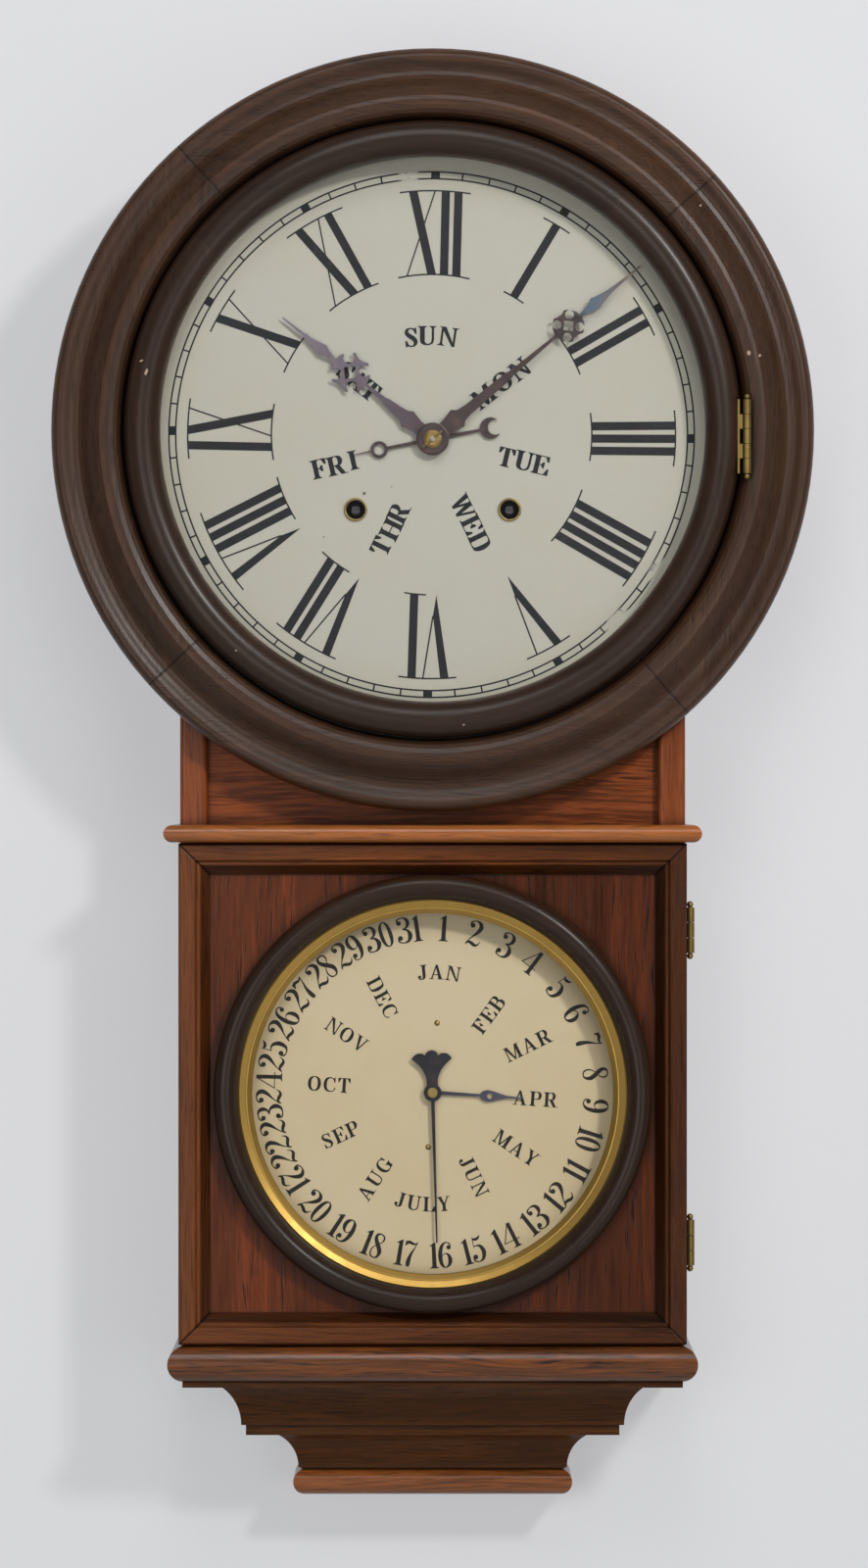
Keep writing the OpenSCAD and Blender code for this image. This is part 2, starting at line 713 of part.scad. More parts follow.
module plate_pillars() color("#9a958a") {
    for (x = [-pillar_at[0], pillar_at[0]], z = [pillar_at[1], pillar_at[2]]) at([x, z]) turned()
        polygon([[0, back_t], [6, back_t], [6, back_t + 3], [4.2, back_t + 5], [4.2, plate_back_d],
            [2.5, plate_back_d], [2.5, plate_inner_d], [4.2, plate_inner_d], [3.2, plate_inner_d + 4],
            [3.2, plate_front_d - 4], [4.2, plate_front_d], [2.5, plate_front_d], [2.5, works_d],
            [4, works_d], [4, works_d + 2.5], [0, works_d + 2.5]]);
    at(minute_wheel_at) rod(stud_r, plate_front_d, hour_d + 3.4);
    at(day_wheel_at) rod(stud_r, plate_front_d, day_d + 3);
}

module suspension_cock() color("#b08d3c") at(verge_at) {
    block(-6, 6, swing_d - 4, plate_back_d, 3, 9);
    block(-3, 3, swing_d - 3, swing_d + 3, 0.1, 3 + eps);
}

// Flat spiral of half turns about the origin, from radius r0 outward by pitch a turn
module spiral(r0, pitch, turns) for (i = [0 : 2 * turns - 1]) {
    even = i % 2 == 0;
    r = r0 + (i + 0.5) * pitch / 2;
    translate([even ? -pitch / 4 : pitch / 4, 0, 0]) rotate([0, even ? 0 : 180, 0]) turned(180)
        translate([r, 0]) children();
}

module mainsprings() color("#4a5560") for (s = [1, -1]) at([s * wind_x, -wind_drop])
    mirror([s > 0 ? 0 : 1, 0, 0]) spiral(spring_in_r, (spring_r - spring_in_r) / spring_turns, spring_turns)
        translate([-0.3, spring_d0]) square([0.6, spring_d1 - spring_d0]);

module gong() color("#39414a") at(gong_at) {
    spiral(gong_in_r, gong_pitch, gong_turns) translate([0, gong_d]) circle(gong_wire_r);
    block(gong_in_r - 16, gong_in_r + 0.5, gong_d - 1.3, gong_d + 1.3, -1.3, 1.3);
}

module gong_block() color("#2e2b29") at(gong_at) difference() {
    union() {
        rod(9, back_t, back_t + 3);
        rod(5.5, back_t, gong_d + 5);
    }
    block(-3.1, 12, gong_d - 1.35, gong_d + 1.35, -1.35, 1.35);
}

/* Hinges */

// Moves its children to the axis of the bezel hinge
module at_bezel_hinge() translate([bezel_hinge_x, -bezel_hinge_d, bezel_hinge_z]) children();

// Moves its children to the axis of a door hinge
module at_door_hinge(z) translate([door_hinge_x, -door_hinge_d, z]) children();

module case_hinge_leaves() color("#b08d3c") {
    at_bezel_hinge() difference() {
        union() {
            knuckles(bezel_hinge_l, 5, 0);
            fingers(bezel_hinge_l, 5, 0, 0.8, 0.8 + leaf_t, 0, 4);
            translate([0.8, 3, -bezel_hinge_l / 2])
                cube([leaf_t, bezel_hinge_d - shoulder_d - 3.6, bezel_hinge_l]);
        }
        pin_bore(bezel_hinge_l);
    }
    for (z = door_hinges) at_door_hinge(z) difference() {
        union() {
            knuckles(door_hinge_l, 3, 0);
            fingers(door_hinge_l, 3, 0, -6, 0, door_hinge_d - case_d, door_hinge_d - case_d + leaf_t);
            translate([inner_half + 4.1 - door_hinge_x, door_hinge_d - case_d, -door_hinge_l / 2])
                cube([door_hinge_x - hinge_r - 0.4 - inner_half - 4.1, leaf_t, door_hinge_l]);
        }
        pin_bore(door_hinge_l);
    }
}

module hinge_pins() color("#8d6f2c") {
    at_bezel_hinge() hinge_pin(bezel_hinge_l);
    for (z = door_hinges) at_door_hinge(z) hinge_pin(door_hinge_l);
}

// A pin with a small ball at each end
module hinge_pin(l) {
    translate([0, 0, -l / 2 - 0.6]) cylinder(r = hinge_pin_r, h = l + 1.2);
    for (s = [-1, 1]) translate([0, 0, s * (l / 2 + 1.6)]) sphere(r = 1.9, $fn = 32);
}

module bezel_hinge_leaf() color("#b08d3c") at_bezel_hinge() {
    down_x = bezel_out_r - 2.5 - bezel_hinge_x;
    difference() {
        union() {
            knuckles(bezel_hinge_l, 5, 1);
            fingers(bezel_hinge_l, 5, 1, down_x, 0, -leaf_t / 2, leaf_t / 2);
            translate([down_x, -leaf_t / 2, -bezel_hinge_l / 2])
                cube([leaf_t, bezel_hinge_d - bezel_back_d - 1, bezel_hinge_l]);
        }
        pin_bore(bezel_hinge_l);
    }
}

module door_hinge_leaves() color("#b08d3c") for (z = door_hinges) at_door_hinge(z) difference() {
    union() {
        knuckles(door_hinge_l, 3, 1);
        fingers(door_hinge_l, 3, 1, -6, 0, door_hinge_d - door_back_d - leaf_t, door_hinge_d - door_back_d);
        translate([panel_half + 4.1 - door_hinge_x, door_hinge_d - door_back_d - leaf_t, -door_hinge_l / 2])
            cube([door_hinge_x - hinge_r - 0.4 - panel_half - 4.1, leaf_t, door_hinge_l]);
    }
    pin_bore(door_hinge_l);
}

/* Bezel */

// Section of the bezel: a half-round face over a back with a rabbet for the glass
module bezel_section() difference() {
    union() {
        r = bezel_w / 2;
        translate([bezel_sight_r + r, bezel_front_d - r]) circle(r);
        translate([bezel_sight_r, bezel_back_d]) square([bezel_w, bezel_t - r]);
    }
    translate([bezel_sight_r - 1, bezel_back_d - 1])
        square([bezel_glass_r + 1.5 - bezel_sight_r, bezel_glass_d + glass_t + 1 - bezel_back_d]);
}

module bezel_ring() color("#3a2620") difference() {
    translate([0, 0, head_z]) turned() bezel_section();
    block(bezel_out_r - 2.6, bezel_out_r + 1, bezel_back_d - 1, bezel_front_d + 1,
        bezel_hinge_z - bezel_hinge_l / 2 - 0.1, bezel_hinge_z + bezel_hinge_l / 2 + 0.1);
}

module bezel_glass() color("#cfe0e0", 0.3)
    translate([0, 0, head_z]) rod(bezel_glass_r, bezel_glass_d, bezel_glass_d + glass_t);

/* Door */

// Section of a rail of the door as (depth, distance in from its outer edge)
module rail_section() {
    w = stile_w + bevel_w;
    polygon([[door_back_d, 0], [door_back_d, w - 0.5], [panel_back_d - 0.1, w - 0.5],
        [panel_back_d - 0.1, w - 4.5], [panel_front_d + 0.1, w - 4.5], [panel_front_d + 0.1, w],
        [panel_front_d + 1.6, w], [door_front_d - 2.4, stile_w + 2.4], [door_front_d - 2.4, stile_w + 1],
        [door_front_d - 0.4, stile_w], [door_front_d, stile_w - 0.6], [door_front_d, 1.2],
        [door_front_d - 1.2, 0]]);
}

// One rail of length l, mitred at both ends, its outer edge at z = 0 and its inner edge above
module rail(l) intersection() {
    across(l) rail_section();
    w = stile_w + bevel_w;
    x = l / 2 - glue;
    slab(door_back_d - 1, door_t + 2) polygon([[-x, 0], [x, 0], [x - w, w], [w - x, w]]);
}

module door_frame() color("#8a4a24") difference() {
    translate([0, 0, cal_z]) for (a = [0 : 90 : 270]) let (side = a % 180 == 90) rotate([0, a, 0])
        translate([0, 0, -(side ? door_half : door_h / 2)]) rail(side ? door_h : 2 * door_half);
    for (z = door_hinges) block(panel_half + 4, door_half + 1, door_back_d - 1, door_back_d + leaf_t + 0.1,
        z - door_hinge_l / 2 - 0.1, z + door_hinge_l / 2 + 0.1);
}

module door_panel() color("#a0572b") difference() {
    half_h = door_h / 2 - stile_w - bevel_w + 4;
    block(-panel_half - 4, panel_half + 4, panel_back_d, panel_front_d, cal_z - half_h, cal_z + half_h);
    translate([0, 0, cal_z]) rod(panel_bore_r, 0, 200);
}

module door_ring() color("#3a2620") translate([0, 0, cal_z]) turned() {
    r = 6.6;
    out = door_ring_r;
    difference() {
        polygon([[sight_ring_r, panel_front_d], [out, panel_front_d], [out, panel_front_d + 6.5],
            [out - r, panel_front_d + door_ring_t - 1], [sight_ring_r + 1.5, panel_front_d + 8.5],
            [sight_ring_r, panel_front_d + 8]]);
        translate([sight_ring_r + 2.2, panel_front_d + door_ring_t - 0.6]) circle(4.6);
    }
    translate([out - r, panel_front_d + door_ring_t - r]) circle(r);
}

module sight_ring() color("#c09a44") translate([0, 0, cal_z]) turned()
    polygon([[cal_sight_r, panel_front_d + glass_t + 0.1], [sight_ring_r - 0.05, panel_front_d + glass_t + 0.1],
        [sight_ring_r - 0.05, panel_front_d + 7.6], [sight_ring_r - 1.2, panel_front_d + 8.2],
        [sight_ring_r - 4.6, panel_front_d + 6.6], [sight_ring_r - 4.8, panel_front_d + 6],
        [sight_ring_r - 5.6, panel_front_d + 5.9], [cal_sight_r + 0.5, panel_front_d + 4],
        [cal_sight_r, panel_front_d + 3.4]]);

module door_glass() color("#cfe0e0", 0.3) translate([0, 0, cal_z])
    rod(sight_ring_r - 0.6, panel_front_d, panel_front_d + glass_t);

/* Hands of the time dial */

// A cross of radius r with four round bites between its arms, each with a mouth that wide, and
// hollow ends across the hand
module bitten_cross(r, mouth) difference() {
    circle(r);
    for (a = [45 : 90 : 315]) rotate(a) {
        translate([0.71 * r, 0]) circle(0.27 * r);
        translate([0.71 * r, -mouth / 2]) square([0.4 * r, mouth]);
    }
    for (a = [0, 180]) rotate(a) translate([1.45 * r, 0]) circle(0.65 * r);
}

// Outline of a hand of length l pointing up: barbed leaf, blade, cross at c and spear at s
module cross_hand(l, c, cross_r, mouth, s, spear_w, barb_w, leaf_w) difference() {
    edge = [[leaf_w, 6], [barb_w * 0.72, 12], [barb_w, 19], [leaf_w * 0.95, 21.5], [leaf_w * 0.75, 27],
        [leaf_w * 0.56, 0.56 * c], [leaf_w * 0.42, 0.58 * c], [0.85, c - cross_r + 0.6],
        [1, c + cross_r - 0.4], [spear_w * 0.35, s - 7], [spear_w * 0.62, s - 3], [spear_w, s],
        [spear_w * 0.72, s + 4], [spear_w * 0.45, s + 9], [spear_w * 0.28, s + 15], [0.4, l]];
    union() {
        for (side = [-1, 1]) polygon(concat([[-side * eps, 6]], [for (p = edge) [side * p[0], p[1]]],
            [[-side * eps, l]]));
        translate([0, c]) bitten_cross(cross_r, mouth);
    }
    translate([0, c]) rotate(45) square(0.58 * cross_r, center = true);
}

module minute_hand() color("#4a3b38") at([0, 0]) clockwise(minute_angle) {
    slab(minute_hand_d, hand_t) difference() {
        union() {
            cross_hand(minute_len, 0.653 * minute_len, 9.4, 2, 0.78 * minute_len, 4, 6.3, 4.2);
            circle(9.5);
        }
        circle(hand_arbor_r);
    }
    turned() difference() {
        translate([hand_arbor_r, minute_hand_d]) square([9.6 - hand_arbor_r, 1.7]);
        translate([9.6, minute_hand_d + 2.3]) circle(1.2);
    }
}

module hand_fastening() color("#b08d3c") at([0, 0]) clockwise(minute_angle) {
    turned() polygon([[hand_arbor_r, minute_hand_d + 1.7], [5.2, minute_hand_d + 1.7],
        [5.2, minute_hand_d + 2.3], [3.6, minute_hand_d + 3.1], [hand_arbor_r, minute_hand_d + 3.1]]);
    taper_pin(0);
}

// The taper pin through the tip of the hand arbor, or its hole when grown
module taper_pin(grow) translate([0, -(arbor_tip_d - 1), 0])
    cylinder(r1 = 0.45 + grow, r2 = 0.7 + grow, h = 14.4, center = true);

module centre_arbor() color("#b9b6ae") at([0, 0]) {
    difference() {
        union() {
            rod(hand_arbor_r, plate_back_d - 1.5, arbor_tip_d - 0.6);
            rod(hand_arbor_r * 0.7, arbor_tip_d - 0.7, arbor_tip_d);
            rod(2.6, plate_back_d - 1.5, plate_back_d - shake);
            rod(2.6, plate_inner_d + shake, second_d - 1.4);
            rod(2.6, second_d + 3.4, plate_front_d - shake);
        }
        clockwise(minute_angle) taper_pin(run);
    }
    slab(cannon_d, 2) rotate(heading([0, 0], minute_wheel_at) + 180 / cannon_teeth)
        teeth(cannon_teeth, cannon_m);
}

module hour_hand() color("#4b4660") at([0, 0]) clockwise(hour_angle) {
    slab(hour_hand_d, hand_t) difference() {
        union() {
            cross_hand(hour_len, 0.548 * hour_len, 11.7, 5.4, 0.73 * hour_len, 3.6, 5.6, 4);
            circle(8.6);
        }
        circle(hour_pipe_r);
    }
    turned() translate([hour_pipe_r, hour_hand_d + hand_t]) square([2.4, 0.5]);
}

module hour_wheel() color("#b08d3c") at([0, 0]) {
    slab(hour_d, 1.6) difference() {
        rotate(heading([0, 0], minute_wheel_at)) teeth(hour_teeth, hour_m);
        circle(hand_arbor_r + run);
    }
    slab(day_d, 1.6) difference() {
        rotate(heading([0, 0], day_wheel_at)) teeth(day_pinion, day_m);
        circle(hand_arbor_r + run);
    }
    turned() translate([hand_arbor_r + run, hour_d]) square([hour_pipe_r - hand_arbor_r - run,
        hour_hand_d + hand_t + 0.5 - hour_d]);
}

module minute_wheel() color("#b08d3c") at(minute_wheel_at) {
    slab(cannon_d + 0.2, 1.4) difference() {
        rotate(heading(minute_wheel_at, [0, 0])) teeth(minute_teeth, cannon_m);
        circle(stud_r + run);
    }
    slab(cannon_d + 1.6, hour_d + 2 - cannon_d - 1.6) difference() {
        rotate(heading(minute_wheel_at, [0, 0]) + 180 / minute_pinion) teeth(minute_pinion, hour_m);
        circle(stud_r + run);
    }
}

module weekday_hand() color("#4a3b38") at([0, 0]) clockwise(weekday_angle) {
    slab(weekday_d, 0.8) difference() {
        union() {
            circle(8.4);
            polygon([[-1.3, 0], [-0.9, weekday_len * 0.54], [-0.5, weekday_len * 0.72], [0, weekday_len],
                [0.5, weekday_len * 0.72], [0.9, weekday_len * 0.54], [1.3, 0], [0.8, -29], [-0.8, -29]]);
            translate([0, 31.8]) circle(5);
            translate([0, -34.5]) circle(6.3);
        }
        translate([0, 31.8]) circle(3.1);
        translate([0, -37.3]) circle(4.4);
        circle(hour_pipe_r + run);
    }
    turned() translate([hour_pipe_r + run, day_d + 5]) square([weekday_pipe_r - hour_pipe_r - run,
        weekday_d + 0.8 - day_d - 5]);
    slab(day_d + 4.2, 1) difference() {
        union() {
            circle(6);
            for (i = [0 : 6]) rotate(i * 360 / 7) translate([6, 0]) circle(3.2, $fn = 3);
        }
        circle(hour_pipe_r + run);
    }
}

module day_wheel() color("#b08d3c") at(day_wheel_at) {
    slab(day_d, 1.4) difference() {
        rotate(heading(day_wheel_at, [0, 0]) + 180 / day_teeth) teeth(day_teeth, day_m);
        circle(stud_r + run);
    }
    slab(day_d + 1.4, 1.2) difference() {
        circle(4);
        circle(stud_r + run);
    }
}

/* Calendar work */

module date_hand() color("#16181f") at_cal() clockwise(date_angle) {
    base_d = cal_dial_front_d + 3;
    fan = [[-eps, 4], [3.3, 4], [3.3, 8], [4.1, 10.5], [5.6, 13.5], [7.8, 16.3], [11.9, 20],
        [10.4, 21.8], [8.6, 22.9], [6.8, 23.1], [5.2, 22.8], [3.4, 21.5], [-eps, 21.5]];
    slab(base_d, 0.9) difference() {
        union() {
            circle(5.2);
            polygon([[-1.1, 0], [-0.45, date_len], [0.45, date_len], [1.1, 0]]);
            for (side = [-1, 1]) polygon([for (p = fan) [side * p[0], -p[1]]]);
            translate([0, -20.9]) circle(4);
        }
        circle(date_arbor_r);
    }
    turned() translate([3.1, base_d + 0.9]) square([2.1, 0.6]);
}

module date_wheel() color("#b08d3c") at_cal() {
    rod(date_arbor_r, cal_back_d + cal_plate_t + shake, cal_dial_front_d + 3.9 + eps);
    rod(2.9, cal_dial_front_d + 3.9, cal_dial_front_d + 5);
    rod(date_pivot_r, cal_back_d - 0.5, cal_back_d + cal_plate_t + 1);
    slab(cal_back_d + cal_plate_t + 1.5, 1.5) difference() {
        polygon([for (i = [0 : date_teeth - 1], s = [[date_wheel_r, 0], [date_wheel_r - 2.6, 0.25]])
            polar(s[0], -(i + s[1]) * 360 / date_teeth)]);
        windows(date_wheel_r - 6, 7, 4, 4);
    }
}

module month_hand() color("#3f4d66") at_cal() clockwise(month_angle) {
    s = 0.628 * month_len;
    slab(cal_dial_front_d + 1.2, 0.8) difference() {
        union() {
            circle(4.6);
            polygon([[-1.2, 0], [-0.8, s - 6], [-2.6, s - 4.4], [-3.5, s - 1.6], [-2.9, s + 2], [-0.7, s + 10],
                [-0.3, month_len], [0.3, month_len], [0.7, s + 10], [2.9, s + 2], [3.5, s - 1.6],
                [2.6, s - 4.4], [0.8, s - 6], [1.2, 0]]);
        }
        translate([0, s]) circle(1.7);
        circle(month_pipe_r);
    }
    turned() translate([month_pipe_r, cal_dial_front_d + 0.5]) square([1.3, 0.7]);
}

module month_wheel() color("#b08d3c") at_cal() {
    wheel_d = cal_front_d - 4;
    turned() translate([date_arbor_r + run, wheel_d - 1.2]) square([month_pipe_r - date_arbor_r - run,
        cal_dial_front_d + 2.4 - wheel_d + 1.2]);
    slab(wheel_d, 1.5) difference() {
        union() {
            circle(20);
            for (i = [0 : 11]) rotate(i * 30) translate([20, 0]) circle(i % 2 == 0 ? 2.6 : 3.4);
        }
        windows(15, 6, 3, 4);
        circle(date_arbor_r + run);
    }
}

module calendar_lever() color("#8d8a80") at_cal(lever_at) slab(lever_d, lever_t) difference() {
    tail = lift_x - lever_at[0];
    union() {
        circle(4.5);
        polygon([[tail - 2.4, 1.8], [tail - 2.4, 6.2], [-2, 4], [2, 4], [15, 14.2], [20.5, 17], [22.3, 15.6],
            [17.5, 10.6], [4, -1.5], [-2, -3.5]]);
    }
    circle(lever_pin_r + run);
}

module lift_wire() color("#8d8a80") {
    top_z = arbor_z + plate_low - 3;
    low_z = cal_z + lever_at[1] + 3;
    translate([lift_x, -lift_d, low_z]) cylinder(r = lift_r, h = top_z - low_z);
    translate([lift_x, 0, top_z]) rod(1.3, lift_d - 1.2, lift_d + 4);
}

/* Time train */

module time_great_wheel() color("#b08d3c") great_wheel(1);

// Great wheel on side s with its hub on the winding arbor
module great_wheel(s) at([s * wind_x, -wind_drop]) {
    slab(great_d, 2) difference() {
        rotate(s > 0 ? heading(time_at, second_at) : 0) teeth(great_teeth, great_m);
        windows(great_teeth * great_m / 2 - 5, 9, 5, 4.5);
        circle(wind_pivot_r + run);
    }
}

module time_arbor() color("#b9b6ae") winding_arbor(1);

// Winding arbor on side s: pivots, spring barrel hub, ratchet wheel and square end
module winding_arbor(s) at([s * wind_x, -wind_drop]) {
    rod(wind_pivot_r, plate_back_d - 1, dial_front_d - 7);
    rod(5.4, spring_d0, spring_d1);
    rod(3.4, plate_inner_d + shake, spring_d0 + 1);
    slab(great_d - 1.6, 1.2) difference() {
        polygon([for (i = [0 : 15], t = [[9, 0], [7.2, 0.2]]) polar(t[0], (i + t[1]) * 22.5 * s)]);
        circle(2);
    }
    block(-square_half, square_half, dial_front_d - 8, board_front_d - 1.6, -square_half, square_half);
}

module strike_great_wheel() color("#b08d3c") great_wheel(-1);

module strike_arbor() color("#b9b6ae") winding_arbor(-1);

module centre_wheel() color("#b08d3c") at([0, 0]) {
    wheel(centre_teeth, second_m, second_d, 1.4, centre_a, 4, hand_arbor_r + run);
    turned() translate([hand_arbor_r + run, second_d - 1]) square([2.4, 4]);
}

module second_wheel() color("#b08d3c") at(second_at) {
    arbor(2);
    wheel(second_teeth, second_m, second_d, 1.4, second_a, 4);
    lantern(second_pinion, great_m, great_d - 1.6, great_d + 3.4,
        heading(second_at, time_at));
}

module third_wheel() color("#b08d3c") at(third_at) {
    arbor(1);
    wheel(third_teeth, third_m, third_d, 1.4, third_a, 4);
    lantern(third_pinion, second_m, second_d - 1.6, second_d + 3,
        mate(second_teeth, third_pinion, second_a, heading(second_at, third_at)));
}

module escape_wheel() color("#b08d3c") at(escape_at) {
    arbor(1);
    lantern(escape_pinion, third_m, third_d - 1.6, third_d + 3, heading(escape_at, third_at));
    slab(escape_d, 1) difference() {
        polygon([for (i = [0 : escape_teeth - 1], s = [[escape_r, 0], [escape_r, 0.06], [escape_r - 3, 0.42],
            [escape_r - 3, 0.9]]) polar(s[0], (i + s[1]) * 360 / escape_teeth)]);
        windows(escape_r - 5, 3, 4, 1.6);
    }
}

module verge() color("#7d8790") at(verge_at) {
    rel = escape_at - verge_at;
    line = heading(verge_at, escape_at) + 180;
    reach = escape_r + 1.3;
    pads = [for (a = [42, -42]) rel + polar(reach, line + a)];
    knees = [for (a = [50, -50]) rel + polar(reach + 4.5, line + a)];
    slab(escape_d - 1.5, 4) {
        circle(2.6);
        for (i = [0, 1]) {
            bar([0, 0], knees[i], 1.6);
            bar(knees[i], pads[i] + (pads[i] - rel) * 0.05, 1.2);
        }
    }
    rod(1, plate_inner_d + shake, plate_front_d - shake);
    rod(pivot_r, swing_d + 6, works_d + 0.5);
    slab(plate_back_d - 6, 1.6) bar([0, 0], [0, -36], 3);
    for (s = [-1, 1]) block(s > 0 ? 1.7 : -2.9, s > 0 ? 2.9 : -1.7, swing_d - 3, plate_back_d - 4.4, -38, -36);
    block(-2.9, 2.9, plate_back_d - 6, plate_back_d - 4.4, -38, -36);
}

/* Pendulum */

module pendulum_rod() color("#c9c5ba") at(verge_at) {
    block(-2.4, 2.4, swing_d - 0.15, swing_d + 0.15, -14, 0);
    block(-2, 2, swing_d - 1.4, swing_d + 1.4, -19, -12);
    translate([0, -swing_d, -pendulum_l - bob_r - 12]) cylinder(r = rod_r, h = pendulum_l + bob_r - 6);
}

module pendulum_bob() color("#b8923f") at(verge_at) translate([0, 0, -pendulum_l]) difference() {
    turned() intersection() {
        translate([0, swing_d - bob_t / 2]) square([bob_r, bob_t]);
        union() {
            translate([0, swing_d - bob_edge / 2]) square([bob_r, bob_edge]);
            for (s = [-1, 1]) translate([0, swing_d + s * (bob_t / 2 - lens_r)]) intersection() {
                circle(lens_r, $fn = 128);
                translate([0, s > 0 ? 0 : -lens_r]) square(lens_r);
            }
        }
    }
    translate([0, -swing_d, -bob_r - 1]) cylinder(r = rod_r + run, h = 2 * bob_r + 2);
}

module rating_nut() color("#b8923f") at(verge_at) translate([0, -swing_d, -pendulum_l - bob_r - 7.2])
    difference() {
        union() {
            cylinder(r = 5, h = 3);
            translate([0, 0, 3]) cylinder(r1 = 4.4, r2 = 3, h = 4);
        }
        translate([0, 0, -1]) cylinder(r = rod_r + run, h = 10);
    }

/* Strike */

// The hammer head stands just off the outer turn of the gong, its face toward the turn
module strike_hammer() color("#8d8a80") at(hammer_at) {
    head_l = 12;
    face = gong_out_r + gong_wire_r + 1;
    head = gong_at - hammer_at + polar(face + head_l / 2, strike_a);
    rod(arbor_r, plate_inner_d + shake, plate_front_d - shake);
    rod(pivot_r, plate_back_d - 8, works_d + 0.5);
    slab(plate_back_d - 8, 2) bar([0, 0], head, 3);
    translate([head[0], 0, head[1]]) rod(1.8, gong_d - 2, plate_back_d - 6.5);
    translate([head[0], -gong_d, head[1]]) rotate([0, 90 - strike_a, 0])
        cylinder(r = 4.6, h = head_l, center = true);
}

backboard();
case_sides();
case_ends();
dial_board();
head_ring();
frieze_panel();
belt_moulding();
base_torus();
base_coves();
base_roll();
hanger_plate();
brass_screws();
time_dial();
winding_grommets();
case_hinge_leaves();
hinge_pins();
calendar_dial();
calendar_frame();
movement_plates();
plate_pillars();
suspension_cock();
mainsprings();
gong();
gong_block();
bezel_ring();
bezel_glass();
bezel_hinge_leaf();
door_frame();
door_panel();
door_ring();
sight_ring();
door_glass();
door_hinge_leaves();
minute_hand();
hand_fastening();
centre_arbor();
hour_hand();
hour_wheel();
minute_wheel();
weekday_hand();
day_wheel();
date_hand();
date_wheel();
month_hand();
month_wheel();
calendar_lever();
lift_wire();
time_great_wheel();
time_arbor();
strike_great_wheel();
strike_arbor();
centre_wheel();
second_wheel();
third_wheel();
escape_wheel();
verge();
pendulum_rod();
pendulum_bob();
rating_nut();
strike_hammer();
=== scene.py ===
"""The looks of a double-dial calendar wall clock, built round its packed CAD parts.

Every coordinate is in metres in the frame of the parts: +Z up, -Y out of the wall, +X to the right.
"""
import json
import math
from functools import partial
from typing import NamedTuple

import bpy
from bpy.props import FloatProperty, FloatVectorProperty, PointerProperty
from bpy.types import NodeSocket, Operator, Panel, PropertyGroup
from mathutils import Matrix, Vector
from mathutils.geometry import delaunay_2d_cdt


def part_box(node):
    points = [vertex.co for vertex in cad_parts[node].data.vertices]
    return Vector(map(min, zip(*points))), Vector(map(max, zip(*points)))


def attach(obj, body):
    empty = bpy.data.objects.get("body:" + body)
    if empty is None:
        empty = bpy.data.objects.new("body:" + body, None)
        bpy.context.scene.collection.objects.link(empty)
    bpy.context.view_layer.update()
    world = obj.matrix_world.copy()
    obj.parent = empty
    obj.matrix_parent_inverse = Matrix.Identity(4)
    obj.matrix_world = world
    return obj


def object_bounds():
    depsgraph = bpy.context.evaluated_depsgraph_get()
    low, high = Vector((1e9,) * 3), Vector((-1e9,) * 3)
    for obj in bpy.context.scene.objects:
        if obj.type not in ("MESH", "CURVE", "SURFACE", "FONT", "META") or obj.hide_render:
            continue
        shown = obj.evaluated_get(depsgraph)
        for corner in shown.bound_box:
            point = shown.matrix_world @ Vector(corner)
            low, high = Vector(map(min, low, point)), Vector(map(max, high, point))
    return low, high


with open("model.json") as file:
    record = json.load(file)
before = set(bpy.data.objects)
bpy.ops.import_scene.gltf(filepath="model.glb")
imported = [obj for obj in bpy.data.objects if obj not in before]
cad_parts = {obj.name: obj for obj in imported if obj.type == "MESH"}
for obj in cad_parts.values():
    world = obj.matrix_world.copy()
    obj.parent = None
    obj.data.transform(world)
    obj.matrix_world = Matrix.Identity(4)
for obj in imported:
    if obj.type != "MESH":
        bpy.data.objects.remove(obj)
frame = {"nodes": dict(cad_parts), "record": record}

bl_info = {
    "name": "Calendar wall clock",
    "version": (1, 0, 0),
    "blender": (4, 5, 0),
    "location": "3D Viewport > Sidebar > Clock",
    "description": "Prints the dials and finishes the wood, metal and glass of a double-dial wall clock",
    "category": "Object",
}

MM = 0.001
CAD_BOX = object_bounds()
TIME_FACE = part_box("time_dial")[0].y
CALENDAR_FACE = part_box("calendar_dial")[0].y
# Middles of the head and of the two arbors: (x, z)
HEAD = (0.0, -0.1208)
HAND_ARBOR = (0.0, -0.126)
CALENDAR_ARBOR = (0.0, -0.5081)


def shade(red, green, blue):
    """A colour written as 0 to 255, as the linear values that shaders take."""
    return tuple(v / 12.92 if v <= 0.04045 else ((v + 0.055) / 1.055) ** 2.4
                 for v in (red / 255, green / 255, blue / 255))


def length(name, default, about):
    return FloatProperty(name=name, description=about, default=default, min=0.0, soft_max=1.0, precision=5,
                         subtype="DISTANCE", unit="LENGTH")


def offset(name, default, about):
    return FloatProperty(name=name, description=about, default=default, precision=5, subtype="DISTANCE",
                         unit="LENGTH")


def power(name, default, about):
    return FloatProperty(name=name, description=about, default=default, min=0.0, subtype="POWER", unit="POWER")


def colour(name, default, about):
    return FloatVectorProperty(name=name, description=about, default=shade(*default), size=3, min=0.0, max=1.0,
                               subtype="COLOR")


